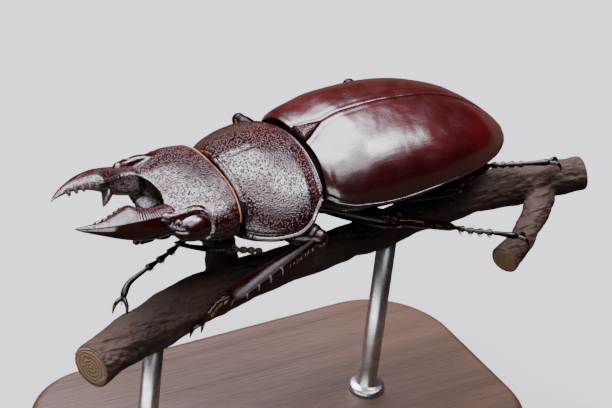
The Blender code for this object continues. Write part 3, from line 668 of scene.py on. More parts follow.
def make_bristle_tree():
    """A tapering hair on each guide point, along its `way`, as long as its `reach`, bent by its `curl`."""
    tree, given, out = geometry_group("Bristles", ("Thickness", "Float", 0.00003), ("Scatter", "Float", 0.2),
                                      ("Tuft size", "Float", 0.003))
    cone = node(tree, "GeometryNodeMeshCone", {"Vertices": 4, "Side Segments": 4, "Fill Segments": 1,
                                               "Radius Top": 0.18, "Radius Bottom": 1.0, "Depth": 1.0}).outputs
    spot = node(tree, "GeometryNodeInputPosition").outputs[0]
    hair = stored(tree, cone["Mesh"], "rise", node(tree, "ShaderNodeSeparateXYZ", {0: spot}).outputs["Z"])
    hair = stored(tree, hair, "patch", cone["UV Map"], "FLOAT_VECTOR", "CORNER")
    lean = node(tree, "FunctionNodeRandomValue", {0: times(tree, given["Scatter"], -1.0), 1: given["Scatter"],
                                                  "Seed": given["Seed"]}, data_type="FLOAT_VECTOR").outputs[0]
    vary = node(tree, "FunctionNodeRandomValue", {2: 0.72, 3: 1.12, "Seed": given["Seed"]},
                data_type="FLOAT").outputs[1]
    turn = node(tree, "FunctionNodeAlignRotationToVector", {"Vector": named(tree, "way")}, axis="Z").outputs[0]
    turn = node(tree, "FunctionNodeRotateRotation", {0: turn, 1: lean}, rotation_space="LOCAL").outputs[0]
    reach = times(tree, named(tree, "reach", "FLOAT"), vary)
    hairs = repeated(tree, given, hair, turn, xyz(tree, given["Thickness"], given["Thickness"], reach))
    whole = node(tree, "GeometryNodeRealizeInstances", {"Geometry": hairs}).outputs[0]
    bend = vector(tree, "SCALE", named(tree, "curl"), calc(tree, "POWER", named(tree, "rise", "FLOAT"), 2.0))
    patch = vector(tree, "SCALE", named(tree, "patch"), given["Tuft size"])
    place = vector(tree, "ADD", named(tree, "place"), patch)
    ended(tree, stored(tree, shifted(tree, whole, bend), "OFBake", place, "FLOAT2", "CORNER"), given, out)


def make_row_tree():
    """The unit object on each guide point, its Z along `ahead`, its X along `across`, scaled by `size`."""
    tree, given, out = geometry_group("Row of units", ("Unit", "Object", None))
    shape = node(tree, "GeometryNodeObjectInfo", {"Object": given["Unit"]}, transform_space="ORIGINAL")
    turn = node(tree, "FunctionNodeAxesToRotation", {0: named(tree, "ahead"), 1: named(tree, "across")},
                primary_axis="Z", secondary_axis="X").outputs[0]
    ended(tree, repeated(tree, given, shape.outputs["Geometry"], turn, named(tree, "size")), given, out)


def make_bark_tree():
    """Long ridges, knots and cracks pressed into a branch's skin, none on its sawn ends."""
    tree, given, out = geometry_group("Bark relief", ("Depth", "Float", 0.0003))
    where = node(tree, "GeometryNodeInputPosition").outputs[0]
    ridges = noise(tree, vector(tree, "MULTIPLY", where, (900.0, 190.0, 900.0)), Detail=3.0)
    lumps = noise(tree, where, 210.0, Detail=1.0)
    rise = calc(tree, "ADD", calc(tree, "SUBTRACT", ridges, 0.5), times(tree, lumps, 1.6, -0.8))
    rise = times(tree, times(tree, rise, given["Depth"]), named(tree, "bark", "FLOAT"))
    move = vector(tree, "SCALE", node(tree, "GeometryNodeInputNormal").outputs[0], rise)
    ended(tree, shifted(tree, given["Geometry"], move), given, out)


TREES = {"Bristles": make_bristle_tree, "Row of units": make_row_tree, "Bark relief": make_bark_tree}


def grown(name, guide, tree_name, finish, values, marks, stands_for=None):
    """A piece that a geometry tree makes from the guide's (points, faces) in the beetle's frame."""
    if tree_name not in bpy.data.node_groups:
        TREES[tree_name]()
    tree = bpy.data.node_groups[tree_name]
    values = {**values, "Material": surface(finish)}
    helper = added(name + "_guide", as_mesh(name + "_guide", placed(guide[0]), guide[1]))
    marked(helper.data, marks)
    step = helper.modifiers.new(tree_name, "NODES")
    step.node_group = tree
    for item in tree.interface.items_tree:
        if item.in_out == "INPUT" and item.name in values:
            step[item.identifier] = values[item.name]
    mesh = evaluated(helper)
    mesh.name = name
    for key in (*marks, "rise", "patch"):
        if key in mesh.attributes:
            mesh.attributes.remove(mesh.attributes[key])
    handed_over(name, mesh, stands_for)


# ---------------------------------------------------------------- trunk

PRONOTUM_FRONT = -8.85
PRONOTUM_WIDTH = 17.9
PRONOTUM_SPREAD = ((0.0, 0.715), (0.12, 0.84), (0.35, 0.95), (0.62, 1.0), (0.76, 0.978), (0.9, 0.866),
                   (1.0, 0.8))
PRONOTUM_TOP = ((0.0, 1.75), (0.2, 2.35), (0.5, 2.8), (0.8, 2.85), (0.94, 2.6), (1.0, 2.3))
PRONOTUM_RIM = ((0.0, -2.9), (0.3, -2.6), (0.6, -2.1), (0.85, -1.0), (1.0, 0.0))
BREAST_FLOOR = ((0.0, -4.3), (0.4, -4.6), (1.0, -4.1))
WING_START, WING_END = 0.35, 24.9
WING_WIDTH = 17.4
WING_SPREAD = ((0.35, 0.75), (1.2, 0.86), (3.0, 0.95), (6.5, 1.0), (11.0, 0.99), (15.0, 0.908), (18.5, 0.77),
               (21.3, 0.575), (23.4, 0.345), (24.5, 0.172), (24.9, 0.086))
WING_TOP = ((0.35, 2.9), (2.4, 3.75), (5.0, 4.6), (9.0, 4.85), (13.5, 4.55), (17.5, 3.6), (21.0, 1.95),
            (23.3, 0.3), (24.9, -1.3))
WING_RIM = ((0.35, -0.6), (3.0, -1.2), (7.0, -1.25), (13.0, -0.8), (19.0, -0.95), (24.9, -1.75))
UNDER_HALF = ((0.0, 6.2), (3.0, 7.3), (9.0, 7.7), (15.0, 7.0), (19.3, 5.4), (22.2, 3.4), (24.0, 1.2))
UNDER_FLOOR = ((0.0, -4.0), (4.0, -4.6), (9.5, -4.5), (15.0, -4.1), (20.0, -3.4), (24.0, -2.4))
SUTURES = (12.2, 14.9, 17.5, 19.9, 22.0)     # grooves across the abdomen


def arch(half, rim, top, fullness, count, end=pi):
    """(x, z) over an arch from one rim to the other, for a column of halves, rims and tops."""
    turn = np.linspace(0, end, count + 1)[None]
    half, rim, top = (np.atleast_1d(v).reshape(-1, 1) for v in (half, rim, top))
    return half * full(np.cos(turn), fullness), rim + (top - rim) * np.abs(full(np.sin(turn), fullness))


def surface_of(x, y, z):
    """Rows of points from grids of x and z and a column of y."""
    return np.stack((x, np.broadcast_to(np.reshape(y, (-1, 1)), x.shape), z), -1)


def spans(grid, axis):
    """Each point's distance from both ends of its line through the grid."""
    steps = np.linalg.norm(np.diff(grid, axis=axis), axis=-1)
    run = np.concatenate((np.zeros_like(np.take(steps, [0], axis)), np.cumsum(steps, axis=axis)), axis=axis)
    return run, np.take(run, [-1], axis) - run


def lifted(grid, lift):
    """The grid moved out along its upward normals."""
    square = unit(np.cross(np.gradient(grid, axis=0), np.gradient(grid, axis=1)))
    if square[len(square) // 2, square.shape[1] // 2, 2] < 0:
        square = -square
    return grid + square * lift[..., None]


def bead(path, radius, flat=1.0, up=(0.1, 0.2, 1.0), fullness=2.0):
    """A thin rounded moulding along a path of many points, its width `flat` times its height."""
    sizes = ((radius, radius * flat),) * 2
    return tube(path, sizes, sides=16, steps=1, across=up, fullness=fullness, round_ends=10)


def flank_of(points, inner, outer):
    """0 over the middle of the back, 1 down its sides."""
    share = np.clip((np.abs(points[:, 0]) - inner) / (outer - inner), 0, 1)
    return share * share * (3 - 2 * share)


def pronotum_part():
    """The pronotum's shield with its raised margins: (part, where it is sleek)."""
    t = np.linspace(0, 1, 120)
    half = eased(PRONOTUM_SPREAD, t) * PRONOTUM_WIDTH / 2
    x, z = arch(half, eased(PRONOTUM_RIM, t), eased(PRONOTUM_TOP, t), 1.8, 170)
    y = (PRONOTUM_FRONT + 0.3 * (x / 7) ** 2) * (1 - t[:, None]) - 0.9 * (x / 7) ** 2 * t[:, None]
    over = np.stack((x, y, z), -1)
    front, back = spans(over, 0)
    side = np.minimum(*spans(over, 1))
    over = lifted(over, 0.05 * bump_at(front, 0.2, 0.12) - 0.06 * bump_at(front, 0.5, 0.16)
                  + 0.05 * bump_at(back, 0.2, 0.12) - 0.07 * bump_at(back, 0.5, 0.15)
                  - 0.1 * bump_at(side, 0.5, 0.2) - 0.05 * bump_at(x, 0, 0.35) * np.clip((-y - 1.0) / 3, 0, 1)
                  - 0.12 * mound(np.abs(x), y, (5.4, -4.3), (1.1, 1.3)))
    share = np.linspace(-1, 1, 42)[1:-1]
    inward = 1 - share ** 2
    rim, middle = over[:, :1], over[:, 85:86]
    under = np.stack((np.abs(rim[..., 0]) * share, rim[..., 1] * share ** 2 + middle[..., 1] * inward,
                      rim[..., 2] - 0.3 * np.sqrt(inward)), -1)
    shield = skin(lipped(np.concatenate((over, under), axis=1)))
    margins = [bead(over[:, line], 0.21, 1.3, (side * 0.38, -0.1, 0.92), 2.8)
               for line, side in ((1, 1), (-2, -1))]
    part = gathered([shield, *margins, bead(over[-2, 1:-1], 0.11), bead(over[1, 1:-1], 0.08)])
    return part, np.arange(len(part[0])) >= len(shield[0])


def underside_part(y, half, roof, floor, sutures=()):
    """A belly plate between its flat roof and its round floor."""
    x, z = arch(-half, roof, floor, 2.1, 60)
    groove = sum((0.14 * bump_at(y, suture, 0.11) for suture in sutures), np.zeros_like(y))
    z = z + groove[:, None] * np.clip((roof[:, None] - z) / 1.5, 0, 1)
    lid = np.linspace(1, -1, 14)[None, 1:-1] * half[:, None]
    over_lid = np.broadcast_to(roof[:, None], lid.shape)
    return skin(lipped(surface_of(np.hstack((x, lid)), y, np.hstack((z, over_lid))), depth=0.4))


def wing_case_part():
    """The left wing case: its outer face from its rim to the suture, closed below."""
    y = WING_END - (WING_END - WING_START) * np.linspace(1, 0, 150) ** 1.15
    y[0] = WING_START
    half = (eased(WING_SPREAD, y) * WING_WIDTH / 2)[:, None]
    rim = eased(WING_RIM, y)[:, None]
    x, z = arch(half, rim, eased(WING_TOP, y), 2.3, 100, pi / 2)
    inner = (0.06 + np.maximum(0, 2.7 - y) * 0.55)[:, None]
    x = inner + (half - inner) * x / half
    y = y[:, None] - 0.55 * (x / 7) ** 2 * np.maximum(0, 1 - (y[:, None] - WING_START) / 3)
    over = np.stack((x, y, z), -1)
    side, suture = spans(over, 1)
    front = spans(over, 0)[0]
    over = lifted(over, 0.015 * bump_at(suture, 0.25, 0.14) - 0.03 * bump_at(suture, 0.6, 0.25)
                  - 0.07 * bump_at(side, 0.42, 0.18) - 0.06 * bump_at(suture, 0.0, 0.12)
                  + 0.05 * bump_at(front, 0.3, 0.15) - 0.05 * bump_at(front, 0.7, 0.25)
                  + 0.08 * mound(x, y, (5.9, 2.0), (1.0, 1.3)) + 0.1 * mound(x, y, (4.4, 20.0), (1.3, 1.2)))
    x = inner + (half - inner) * np.linspace(0, 1, 16)[:-1]
    under = surface_of(x, y[:, -1], np.broadcast_to(rim - 0.1, x.shape))
    return gathered([skin(lipped(np.concatenate((over, under), axis=1), depth=0.3)), bead(over[:, 1], 0.13)])


def scutellum_part():
    y = np.linspace(0.3, 2.45, 30)
    half = (2.5 - y) * 0.55
    x, z = arch(half, 3.0 + 0.1 * y, 3.42 + 0.12 * y, 3.0, 30)
    low = np.linspace(-1, 1, 12)[None, 1:-1] * half[:, None]
    return skin(surface_of(np.hstack((x, low)), y, np.hstack((z, np.full_like(low, 1.9)))))


class STAG_OT_trunk(bpy.types.Operator):
    """Adds the pronotum, scutellum, belly plates, hips and neck"""
    bl_idname = "stag.trunk"
    bl_label = "Trunk"

    def execute(self, context):
        part, sleek = pronotum_part()
        flank = flank_of(part[0], 3.2, 8.2)
        piece("pronotum_shield", part, "Granulated cuticle", "pronotum", flank=flank, sleek=sleek)
        scale = scutellum_part()
        piece("scutellum_shield", scale, "Granulated cuticle", "scutellum", flank=np.zeros(len(scale[0])))
        t = np.linspace(0.02, 0.92, 60)
        half = eased(PRONOTUM_SPREAD, t) * PRONOTUM_WIDTH / 2 - 0.6
        breast = underside_part(PRONOTUM_FRONT * (1 - t) - 0.5 * t, half, eased(PRONOTUM_RIM, t) - 0.3,
                                eased(BREAST_FLOOR, t))
        piece("fore_breast", breast, "Limb cuticle", "prosternum")
        for name, first, last, sutures, solid in (("hind_breast", 0.1, 9.2, (), "hind_thorax"),
                                                  ("belly", 9.4, 24.0, SUTURES, "abdomen")):
            y = np.linspace(first, last, 120)
            roof, floor = eased(WING_RIM, y) - 0.12, eased(UNDER_FLOOR, y)
            piece(name, underside_part(y, eased(UNDER_HALF, y), roof, floor, sutures), "Limb cuticle", solid)
        necks = [tube(((0, -11.5, -1.2), (0, -8.0, -1.2)), ((2.3, 5.7), (2.4, 5.9))),
                 tube(((0, -2.0, -0.6), (0, 2.0, -0.5)), ((2.7, 6.4), (2.7, 5.9)), fullness=2.3),
                 tube(((0, 8.2, -2.4), (0, 10.4, -2.4)), ((1.8, 7.2), (1.8, 7.2)), fullness=2.3)]
        piece("neck_membranes", gathered(necks), "Neck membrane")
        hips = [ball(np.array(leg[0]) + (0, 0, 0.25), (1.35, 1.0, 0.85)) for leg in LEGS.values()]
        piece("hip_joints", gathered(hips), "Limb cuticle")
        return {"FINISHED"}


class STAG_OT_wing_cases(bpy.types.Operator):
    """Adds the two wing cases"""
    bl_idname = "stag.wing_cases"
    bl_label = "Wing cases"

    def execute(self, context):
        points, faces = wing_case_part()
        flank = flank_of(points, 6.2, 8.6)
        for name, side in SIDES.items():
            part = (mirrored(points, side), faces)
            piece("wing_shield_" + name, part, "Polished cuticle", "wing_case_" + name, flank=flank)
        return {"FINISHED"}


# ---------------------------------------------------------------- head

HEAD_HALF = ((-15.6, 4.7), (-14.2, 5.35), (-12.7, 6.7), (-11.2, 7.1), (-9.2, 6.6))
HEAD_TOP = ((-15.6, 0.6), (-14.0, 1.12), (-12.0, 1.5), (-9.3, 1.74))
HEAD_FLOOR = ((-15.6, -2.9), (-12.0, -3.75), (-9.3, -4.1))
HEAD_SIDE = -1.55
FACE = -15.55
EYE_CENTRE = (5.5, -14.15, -0.93)
EYE_RADII = (1.42, 2.25, 1.38)
RIDGE_PATH = ((4.35, -17.3, 0.4), (4.8, -16.8, 0.22), (4.98, -15.8, 0.25), (4.95, -14.9, 0.35),
              (4.9, -13.9, 0.4), (5.3, -12.7, 0.3))
RIDGE_SIZE = ((0.42, 0.4), (0.6, 0.62), (0.6, 0.55), (0.6, 0.5), (0.58, 0.48), (0.45, 0.45))
FLANGE_PATH = ((4.6, -16.9, -0.25), (5.4, -16.3, -0.25), (6.05, -15.75, -0.3), (6.5, -15.2, -0.38))
FLANGE_SIZE = ((0.3, 0.55), (0.34, 0.62), (0.34, 0.55), (0.24, 0.34))
LIP_PLACES = (-17.15, -17.0, -16.7, -16.0, -15.2)
LIP_SIZES = ((0.45, -1.05, -1.3), (0.78, -0.95, -1.4), (0.95, -0.88, -1.45), (1.02, -0.72, -1.5),
             (1.0, -0.7, -1.55))     # its half width, top and underside
PALP = ((1.2, -15.5, -4.3), (1.9, -17.2, -4.1), (2.05, -17.9, -3.85), (2.2, -18.6, -3.6))


def head_rings(y, scale):
    """Rings of the head capsule at the places y, each drawn in towards its middle by its scale."""
    half = eased(HEAD_HALF, y) * scale
    top, floor = (HEAD_SIDE + (eased(line, y) - HEAD_SIDE) * scale for line in (HEAD_TOP, HEAD_FLOOR))
    over = arch(half, HEAD_SIDE, top, 2.7, 60)
    under = arch(-half, HEAD_SIDE, floor, 2.2, 40)
    x, z = (np.concatenate((a, b[:, 1:-1]), axis=1) for a, b in zip(over, under))
    hollow = np.clip((-12.0 - y[:, None]) / 3.5, 0, 1)
    shift = np.where(z > HEAD_SIDE, -1.5 * (np.abs(x) / 4.6) ** 2 * hollow, -0.7 * hollow)
    return np.stack((x, y[:, None] + shift - 0.35 * (x / 7) ** 2 * (1 - hollow), z), -1)


def head_part():
    """The head capsule with its eye ridges and flanges: (part, marks for its surface)."""
    scale = np.array((0.05, 0.2, 0.35, 0.5, 0.62, 0.75, 0.84, 0.93, 0.98))
    recess = eased(((0.0, 0.8), (0.35, 0.75), (0.75, 0.48), (0.93, 0.14), (1.0, 0.0)), scale)
    face = head_rings(np.full(len(scale), FACE), scale) + recess[:, None, None] * (0, 1, 0)
    nape = head_rings(np.array((-9.32, -9.24, -9.2)), np.array((0.985, 0.955, 0.9)))
    parts = [skin(np.concatenate((face, head_rings(np.linspace(FACE, -9.42, 60), np.ones(60)), nape)))]
    for side in SIDES.values():
        across = (side * 0.78, -0.54, 0.32)
        parts.append(tube(mirrored(RIDGE_PATH, side), RIDGE_SIZE, round_ends=4))
        parts.append(tube(mirrored(FLANGE_PATH, side), FLANGE_SIZE, across=across, round_ends=4))
    points, faces = fused(parts, 0.09, 9)
    spots = np.where((True, False, False), np.abs(points), points)
    x, y, z = spots.T
    apart = np.linalg.norm((spots - EYE_CENTRE) / EYE_RADII, axis=1)
    fold = 0.07 * bump_at(apart, 1.2, 0.09) - 0.16 * bump_at(apart, 1.03, 0.07)
    fold *= np.clip((y + 15.2) / 0.8, 0, 1)
    dents = (0.2 * mound(x, y, (5.05 + 0.2 * (y + 15.7), -15.8), (0.11, 0.5))
             + 0.14 * mound(x, y, (3.6, -14.4), (0.9, 1.4)) + 0.1 * mound(x, y, (0, -14.8), (1.6, 0.9)))
    points = points + normals_of(points, faces) * (fold - dents * np.clip(z - 0.2, 0, 1))[:, None]
    low = np.clip((0.9 - z) / 1.6, 0, 1) * np.clip((y + 14.6) / 1.5, 0, 1)
    ridge, flange = (np.linalg.norm(spots[:, None] - through(path, 6), axis=2).min(axis=1)
                     for path in (RIDGE_PATH, FLANGE_PATH))
    # Painted shade: the canthus flanges, the recess of the face and the underside at its front get a mark that
    # colours them near black to stand in for shade, and that lowers their granules.
    on_flange = np.clip((0.75 - flange) / 0.25, 0, 1) * np.clip(0.4 - z, 0, 0.5) * 2
    on_face = np.clip((-15.4 - y) / 0.1, 0, 1) * (x < 3.6)
    on_face += np.clip((y + 15.3) / 0.2, 0, 1) * (x < 3.4) * (z < -2)
    return (points, faces), {"flank": np.clip(low + 0.35 * np.clip((x - 3.5) / 3, 0, 1), 0, 1),
                             "sleek": np.clip((0.95 - ridge) / 0.3, 0, 1) * np.clip(z + 0.2, 0, 1),
                             "smooth_painted_shade": np.clip(np.maximum(on_flange, on_face), 0, 1)}


def mouth_part():
    parts = [ball((0.0, -14.9, -4.35), (1.9, 1.5, 0.42))]
    for side in SIDES.values():
        joints = mirrored(PALP, side)
        for start, stop, thick in zip(joints, joints[1:], (0.3, 0.28, 0.32)):
            parts.append(tube((start, (start + stop) / 2, stop), (0.15, thick, 0.2), sides=12, steps=5))
    return gathered(parts)


def labrum_part():
    y = np.linspace(-15.2, -17.15, 36)
    half, top, low = (column[:, None] for column in eased_each(LIP_PLACES, LIP_SIZES, y))
    turn = tau * np.arange(40)[None] / 40
    c, s = (full(v, 2 / 0.7) for v in (np.cos(turn), np.sin(turn)))
    return skin(surface_of(half * c, y, (top + low) / 2 + (top - low) / 2 * s))


class STAG_OT_head(bpy.types.Operator):
    """Adds the head, eyes, lip and mouth"""
    bl_idname = "stag.head"
    bl_label = "Head"

    def execute(self, context):
        part, marks = head_part()
        piece("head_capsule", part, "Granulated cuticle", "head", **marks)
        for name, side in SIDES.items():
            globe = ball(mirrored(EYE_CENTRE, side), EYE_RADII, 72, 44)
            piece("eye_globe_" + name, globe, "Eye facets", "eye_" + name)
        lip = labrum_part()
        # root: how far towards the head, where the lip is painted dark as shade.
        piece("lip_plate", lip, "Lip cuticle", "labrum", root=np.clip((lip[0][:, 1] + 16.7) / 0.5, 0, 1))
        piece("mouth_plate", mouth_part(), "Limb cuticle", "mentum")
        return {"FINISHED"}


# ---------------------------------------------------------------- jaws

# The left jaw's five long lines, as (x, z) at the same places from tip to root: its inner upper edge, outer upper
# edge, outer side, lower side and inner side.
JAW_PLACES = (-25.3, -24.8, -24.2, -23.4, -22.6, -21.7, -20.7, -19.8, -18.8, -17.5, -16.0)
JAW_LINES = (
    ((2.4, -0.28), (2.6, -0.12), (2.77, -0.02), (2.9, 0.1), (2.88, 0.22), (2.7, 0.4), (2.4, 0.62),
     (2.15, 0.75), (2.65, 0.5), (3.0, 0.42), (2.6, 0.25)),
    ((2.5, -0.25), (3.05, -0.13), (3.5, 0.05), (3.96, 0.26), (4.33, 0.4), (4.65, 0.54), (4.86, 0.65),
     (4.97, 0.69), (4.92, 0.66), (4.8, 0.55), (4.7, 0.4)),
    ((2.52, -0.33), (3.05, -0.3), (3.55, -0.25), (4.05, -0.2), (4.45, -0.2), (4.8, -0.25), (5.05, -0.32),
     (5.2, -0.42), (5.25, -0.6), (5.25, -0.8), (5.1, -0.9)),
    ((2.48, -0.38), (2.95, -0.45), (3.4, -0.52), (3.85, -0.65), (4.2, -0.82), (4.5, -1.05), (4.72, -1.3),
     (4.75, -1.55), (4.55, -1.85), (4.2, -2.2), (3.8, -2.4)),
    ((2.4, -0.32), (2.68, -0.27), (2.95, -0.27), (3.2, -0.28), (3.4, -0.3), (3.5, -0.33), (3.45, -0.4),
     (3.2, -0.5), (2.7, -0.75), (2.2, -1.0), (1.9, -1.0)))
JAW_TIP, JAW_ROOT = -25.25, -15.0
INNER_TOOTH = ((3.6, -18.6, -0.55), (2.35, -19.3, -0.9), (1.35, -20.2, -1.45))
DENTICLES = (-23.2, -22.45, -21.75, -21.1, -20.5)      # places along the crest
DENTICLE_WAY = np.array((-0.78, -0.05, -0.62))
HUMP_GRAINS = 26


def jaw_line(which, y):
    """Points of one of the jaw's long lines at the places y."""
    x, z = eased_each(JAW_PLACES, JAW_LINES[which], y)
    return np.stack((x, y, z), -1)


def jaw_rings(rows, around):
    """Rings with a low-arched upper face between two edges, a round outer side and an undercut inner side."""
    y = JAW_ROOT + (JAW_TIP - JAW_ROOT) * np.linspace(0, 1, rows)
    crest, keel, outer, belly, inner = (jaw_line(k, y) for k in range(5))
    share = np.linspace(0, 1, around // 3, endpoint=False)
    over = crest[:, None] + (keel - crest)[:, None] * share[:, None]
    over[..., 2] += np.linalg.norm(keel - crest, axis=1)[:, None] * (0.45 * share ** 0.6 * (1 - share))
    sides = through(np.stack((keel, outer, belly, inner, crest)), around // 6)[:-1].transpose(1, 0, 2)
    rings = np.concatenate((over, sides), axis=1)
    middle = rings.mean(1, keepdims=True)
    far = np.clip((JAW_ROOT - y) / 1.1, 0, 1)[:, None, None]
    return middle + (rings - middle) * np.sqrt(np.clip(1 - (1 - far) ** 2, 0.02, 1))


def mandible_part():
    """The left jaw with its ribbed upper face, inner tooth and denticles: (part, marks for its surface)."""
    parts = [skin(jaw_rings(90, 60)), tube(INNER_TOOTH, ((0.5, 0.85), (0.4, 0.52), 0.12), round_ends=4)]
    for spot in jaw_line(0, np.array(DENTICLES)):
        way = [spot + DENTICLE_WAY * far for far in (-0.35, 0.05, 0.5)]
        parts.append(tube(way, ((0.17, 0.26), (0.18, 0.25), (0.12, 0.14)), sides=14, round_ends=3))
    for k, spot in enumerate(jaw_line(0, np.linspace(-21.4, -16.9, HUMP_GRAINS))):
        parts.append(ball(spot + (0.04 * (k % 2), 0, 0), (0.12, 0.07, 0.1 + 0.02 * (k % 3)), 12, 8))
    points, faces = fused(parts, 0.065, 3)
    y = np.linspace(JAW_ROOT, JAW_TIP, 300)
    edge, keel = jaw_line(0, y), jaw_line(1, y)
    path = (edge + keel) / 2
    tree = KDTree(len(path))
    for i, spot in enumerate(path):
        tree.insert((spot[0], spot[1], 0.0), i)
    tree.balance()
    nearest = np.array([tree.find((x, y, 0.0))[1] for x, y, _ in points])
    ahead = unit(np.gradient(path, axis=0))[nearest, :2]
    along = run_of(path)[nearest] + ((points - path[nearest])[:, :2] * ahead).sum(axis=1)
    wide = np.linalg.norm(keel - edge, axis=1)[nearest] + 0.3
    inward = 1 - np.linalg.norm((points - edge[nearest])[:, :2], axis=1) / wide
    upper = np.clip((normals_of(points, faces)[:, 2] - 0.35) / 0.3, 0, 1)
    return (points, faces), {"along": along, "upper": upper, "crest": np.clip(inward * 1.6 - 0.3, 0, 1)}


class STAG_OT_mandibles(bpy.types.Operator):
    """Adds the pair of toothed jaws"""
    bl_idname = "stag.mandibles"
    bl_label = "Mandibles"

    def execute(self, context):
        (points, faces), marks = mandible_part()
        for name, side in SIDES.items():
            piece("jaw_" + name, (mirrored(points, side), faces), "Jaw cuticle", "mandible_" + name, **marks)
        return {"FINISHED"}


# ---------------------------------------------------------------- antennae

ANTENNA_SHAFT = ((4.5, -15.6, -2.95), (5.0, -14.0, -3.55), (5.4, -12.0, -4.1))
ANTENNA_BEADS = {"left": ((5.4, -12.1, -4.1), (5.6, -11.3, -4.2), (5.95, -10.4, -4.2)),
                 "right": ((5.4, -12.1, -4.1), (6.5, -12.0, -4.5), (7.6, -12.6, -4.75))}
ANTENNA_CLUB = {"left": ((5.95, -10.4, -4.2), (6.7, -9.2, -4.1), (7.5, -7.95, -4.0)),
                "right": ((7.6, -12.6, -4.75), (8.2, -13.6, -4.7), (8.5, -14.8, -4.4))}
CLUB_PLATES = ((0.36, 0.5, 0.3), (0.5, 0.5, 0.42), (0.55, 0.5, 0.5), (0.52, 0.5, 0.48), (0.42, 0.5, 0.4))
SLANT = (0.1, 0.2, 1.0)


def unit_object(name, part):
    """A helper that a row repeats: its own size, off the stage."""
    obj = bpy.data.objects.new(name, as_mesh(name, part[0] * MM, part[1]))
    obj.data.shade_smooth()
    return obj


def row_of(name, unit_shape, finish, path, size, ahead=None):
    """A piece of like units set along a path, each turned the way that it runs."""
    if ahead is None:
        ahead = unit(np.gradient(path, axis=0))
    marks = {"ahead": ahead, "across": unit(np.cross(ahead, SLANT)), "size": np.broadcast_to(size, path.shape)}
    grown(name, (path, []), "Row of units", finish, {"Unit": unit_shape}, marks)


class STAG_OT_antennae(bpy.types.Operator):
    """Adds the two antennae: a long shaft, a beaded middle and a club of leaning plates"""
    bl_idname = "stag.antennae"
    bl_label = "Antennae"

    def execute(self, context):
        joint = unit_object("bead", ball((0, 0, 0), (1, 1, 1.25), 16, 12))
        plate = unit_object("plate", ball((0, 0, 0.2), (1.0, 0.5, 0.95), 24, 16))
        for name, side in SIDES.items():
            shaft = tube(mirrored(ANTENNA_SHAFT, side), (0.22, 0.24, 0.36), round_ends=3)
            piece("feeler_shaft_" + name, shaft, "Limb cuticle", "antenna_" + name)
            beads = through(mirrored(ANTENNA_BEADS[name], side), 3)[1:]
            row_of("feeler_beads_" + name, joint, "Limb cuticle", beads, (0.25, 0.25, 0.21))
            club = through(mirrored(ANTENNA_CLUB[name], side), 2)
            row_of("feeler_club_" + name, plate, "Club velvet", club, CLUB_PLATES)
        return {"FINISHED"}


# ---------------------------------------------------------------- legs

# Each leg's hip, knee and ankle, and the points of its foot.
LEGS = {
    "front_left": ((1.9, -5.2, -4.6), (9.2, -2.2, -2.9), (9.4, -11.7, -7.05),
                   ((8.5, -12.4, -8.0), (7.7, -13.0, -10.0), (6.8, -13.2, -11.7))),
    "front_right": ((-1.9, -5.2, -4.6), (-7.6, -8.7, -4.1), (0.8, -11.3, -5.3),
                    ((1.4, -14.3, -6.6), (1.7, -16.6, -7.5), (2.0, -18.7, -8.5), (3.0, -19.8, -9.5))),
    "middle_left": ((2.2, 2.4, -4.6), (7.6, 7.7, -4.4), (7.6, 14.9, -6.9),
                    ((8.4, 16.7, -7.3), (9.3, 18.7, -7.5), (10.3, 21.6, -8.1))),
    "middle_right": ((-2.8, 2.5, -4.6), (-9.8, -0.4, -0.8), (-4.4, -1.0, -6.6),
                     ((-2.8, -0.7, -7.8), (-1.0, -0.2, -8.6), (0.6, 0.3, -8.8))),
    "hind_left": ((3.0, 8.0, -4.5), (5.2, 16.4, -3.9), (1.6, 22.8, -5.0),
                  ((2.0, 25.2, -5.2), (2.7, 27.5, -5.2), (3.5, 29.9, -5.1))),
    "hind_right": ((-3.0, 8.4, -4.5), (-11.2, 13.6, -0.5), (-5.4, 17.2, -5.1),
                   ((-3.9, 19.1, -6.4), (-2.6, 20.9, -6.9), (-1.5, 22.4, -6.8))),
}
# How much the thigh thickens to the knee, the thorns on the shin, and the shin's half width.
LEG_ROWS = {"front": (1.22, 4, 1.3), "middle": (1.0, 1, 0.75), "hind": (1.0, 1, 0.75)}
TARSUS_LOBES = 4
JOINT_RISE = (0.0, 0.03, 0.1, 0.25, 0.45, 0.65, 0.8, 0.9, 0.97, 1.0, 0.96, 0.9)
JOINT_RADIUS = (0.3, 0.42, 0.5, 0.55, 0.66, 0.82, 0.95, 1.0, 0.96, 0.84, 0.6, 0.3)


def leg_row(leg):
    return LEG_ROWS[leg.split("_")[0]]


def leg_lines(leg):
    """(hip, knee, ankle, square to the leg's plane, along the shin, out from the shin)"""
    hip, knee, ankle = (np.array(p, float) for p in LEGS[leg][:3])
    square = unit(np.cross(knee - hip, ankle - knee))
    along = unit(ankle - knee)
    outer = np.cross(square, along)
    return hip, knee, ankle, square, along, outer if outer @ (knee - hip) >= 0 else -outer


def femur_part(leg):
    hip, knee, _, square, _, _ = leg_lines(leg)
    swell = leg_row(leg)[0]
    path = [hip + (knee - hip) * share for share in (-0.04, 0.2, 0.45, 0.7, 0.9, 1.03)]
    sizes = ((0.6, 0.7), (0.8, 0.95), (0.92, 1.12), (0.95, 1.18 * swell), (0.9 * swell, 1.02 * swell),
             (0.5, 0.55))
    thigh = tube(path, sizes, sides=32, across=square, fullness=2.2, round_ends=4)
    return fused([thigh, ball(knee, (0.72 * swell,) * 3, 24, 16)], 0.09)


def thorn(root, tip, bow, radius):
    """A curved spine that bows towards `bow`."""
    return tube((root, (root + tip) / 2 - bow, tip), (radius, radius * 0.62, 0.06), sides=10, steps=5,
                across=(0.13, 0.21, 0.97), round_ends=1)


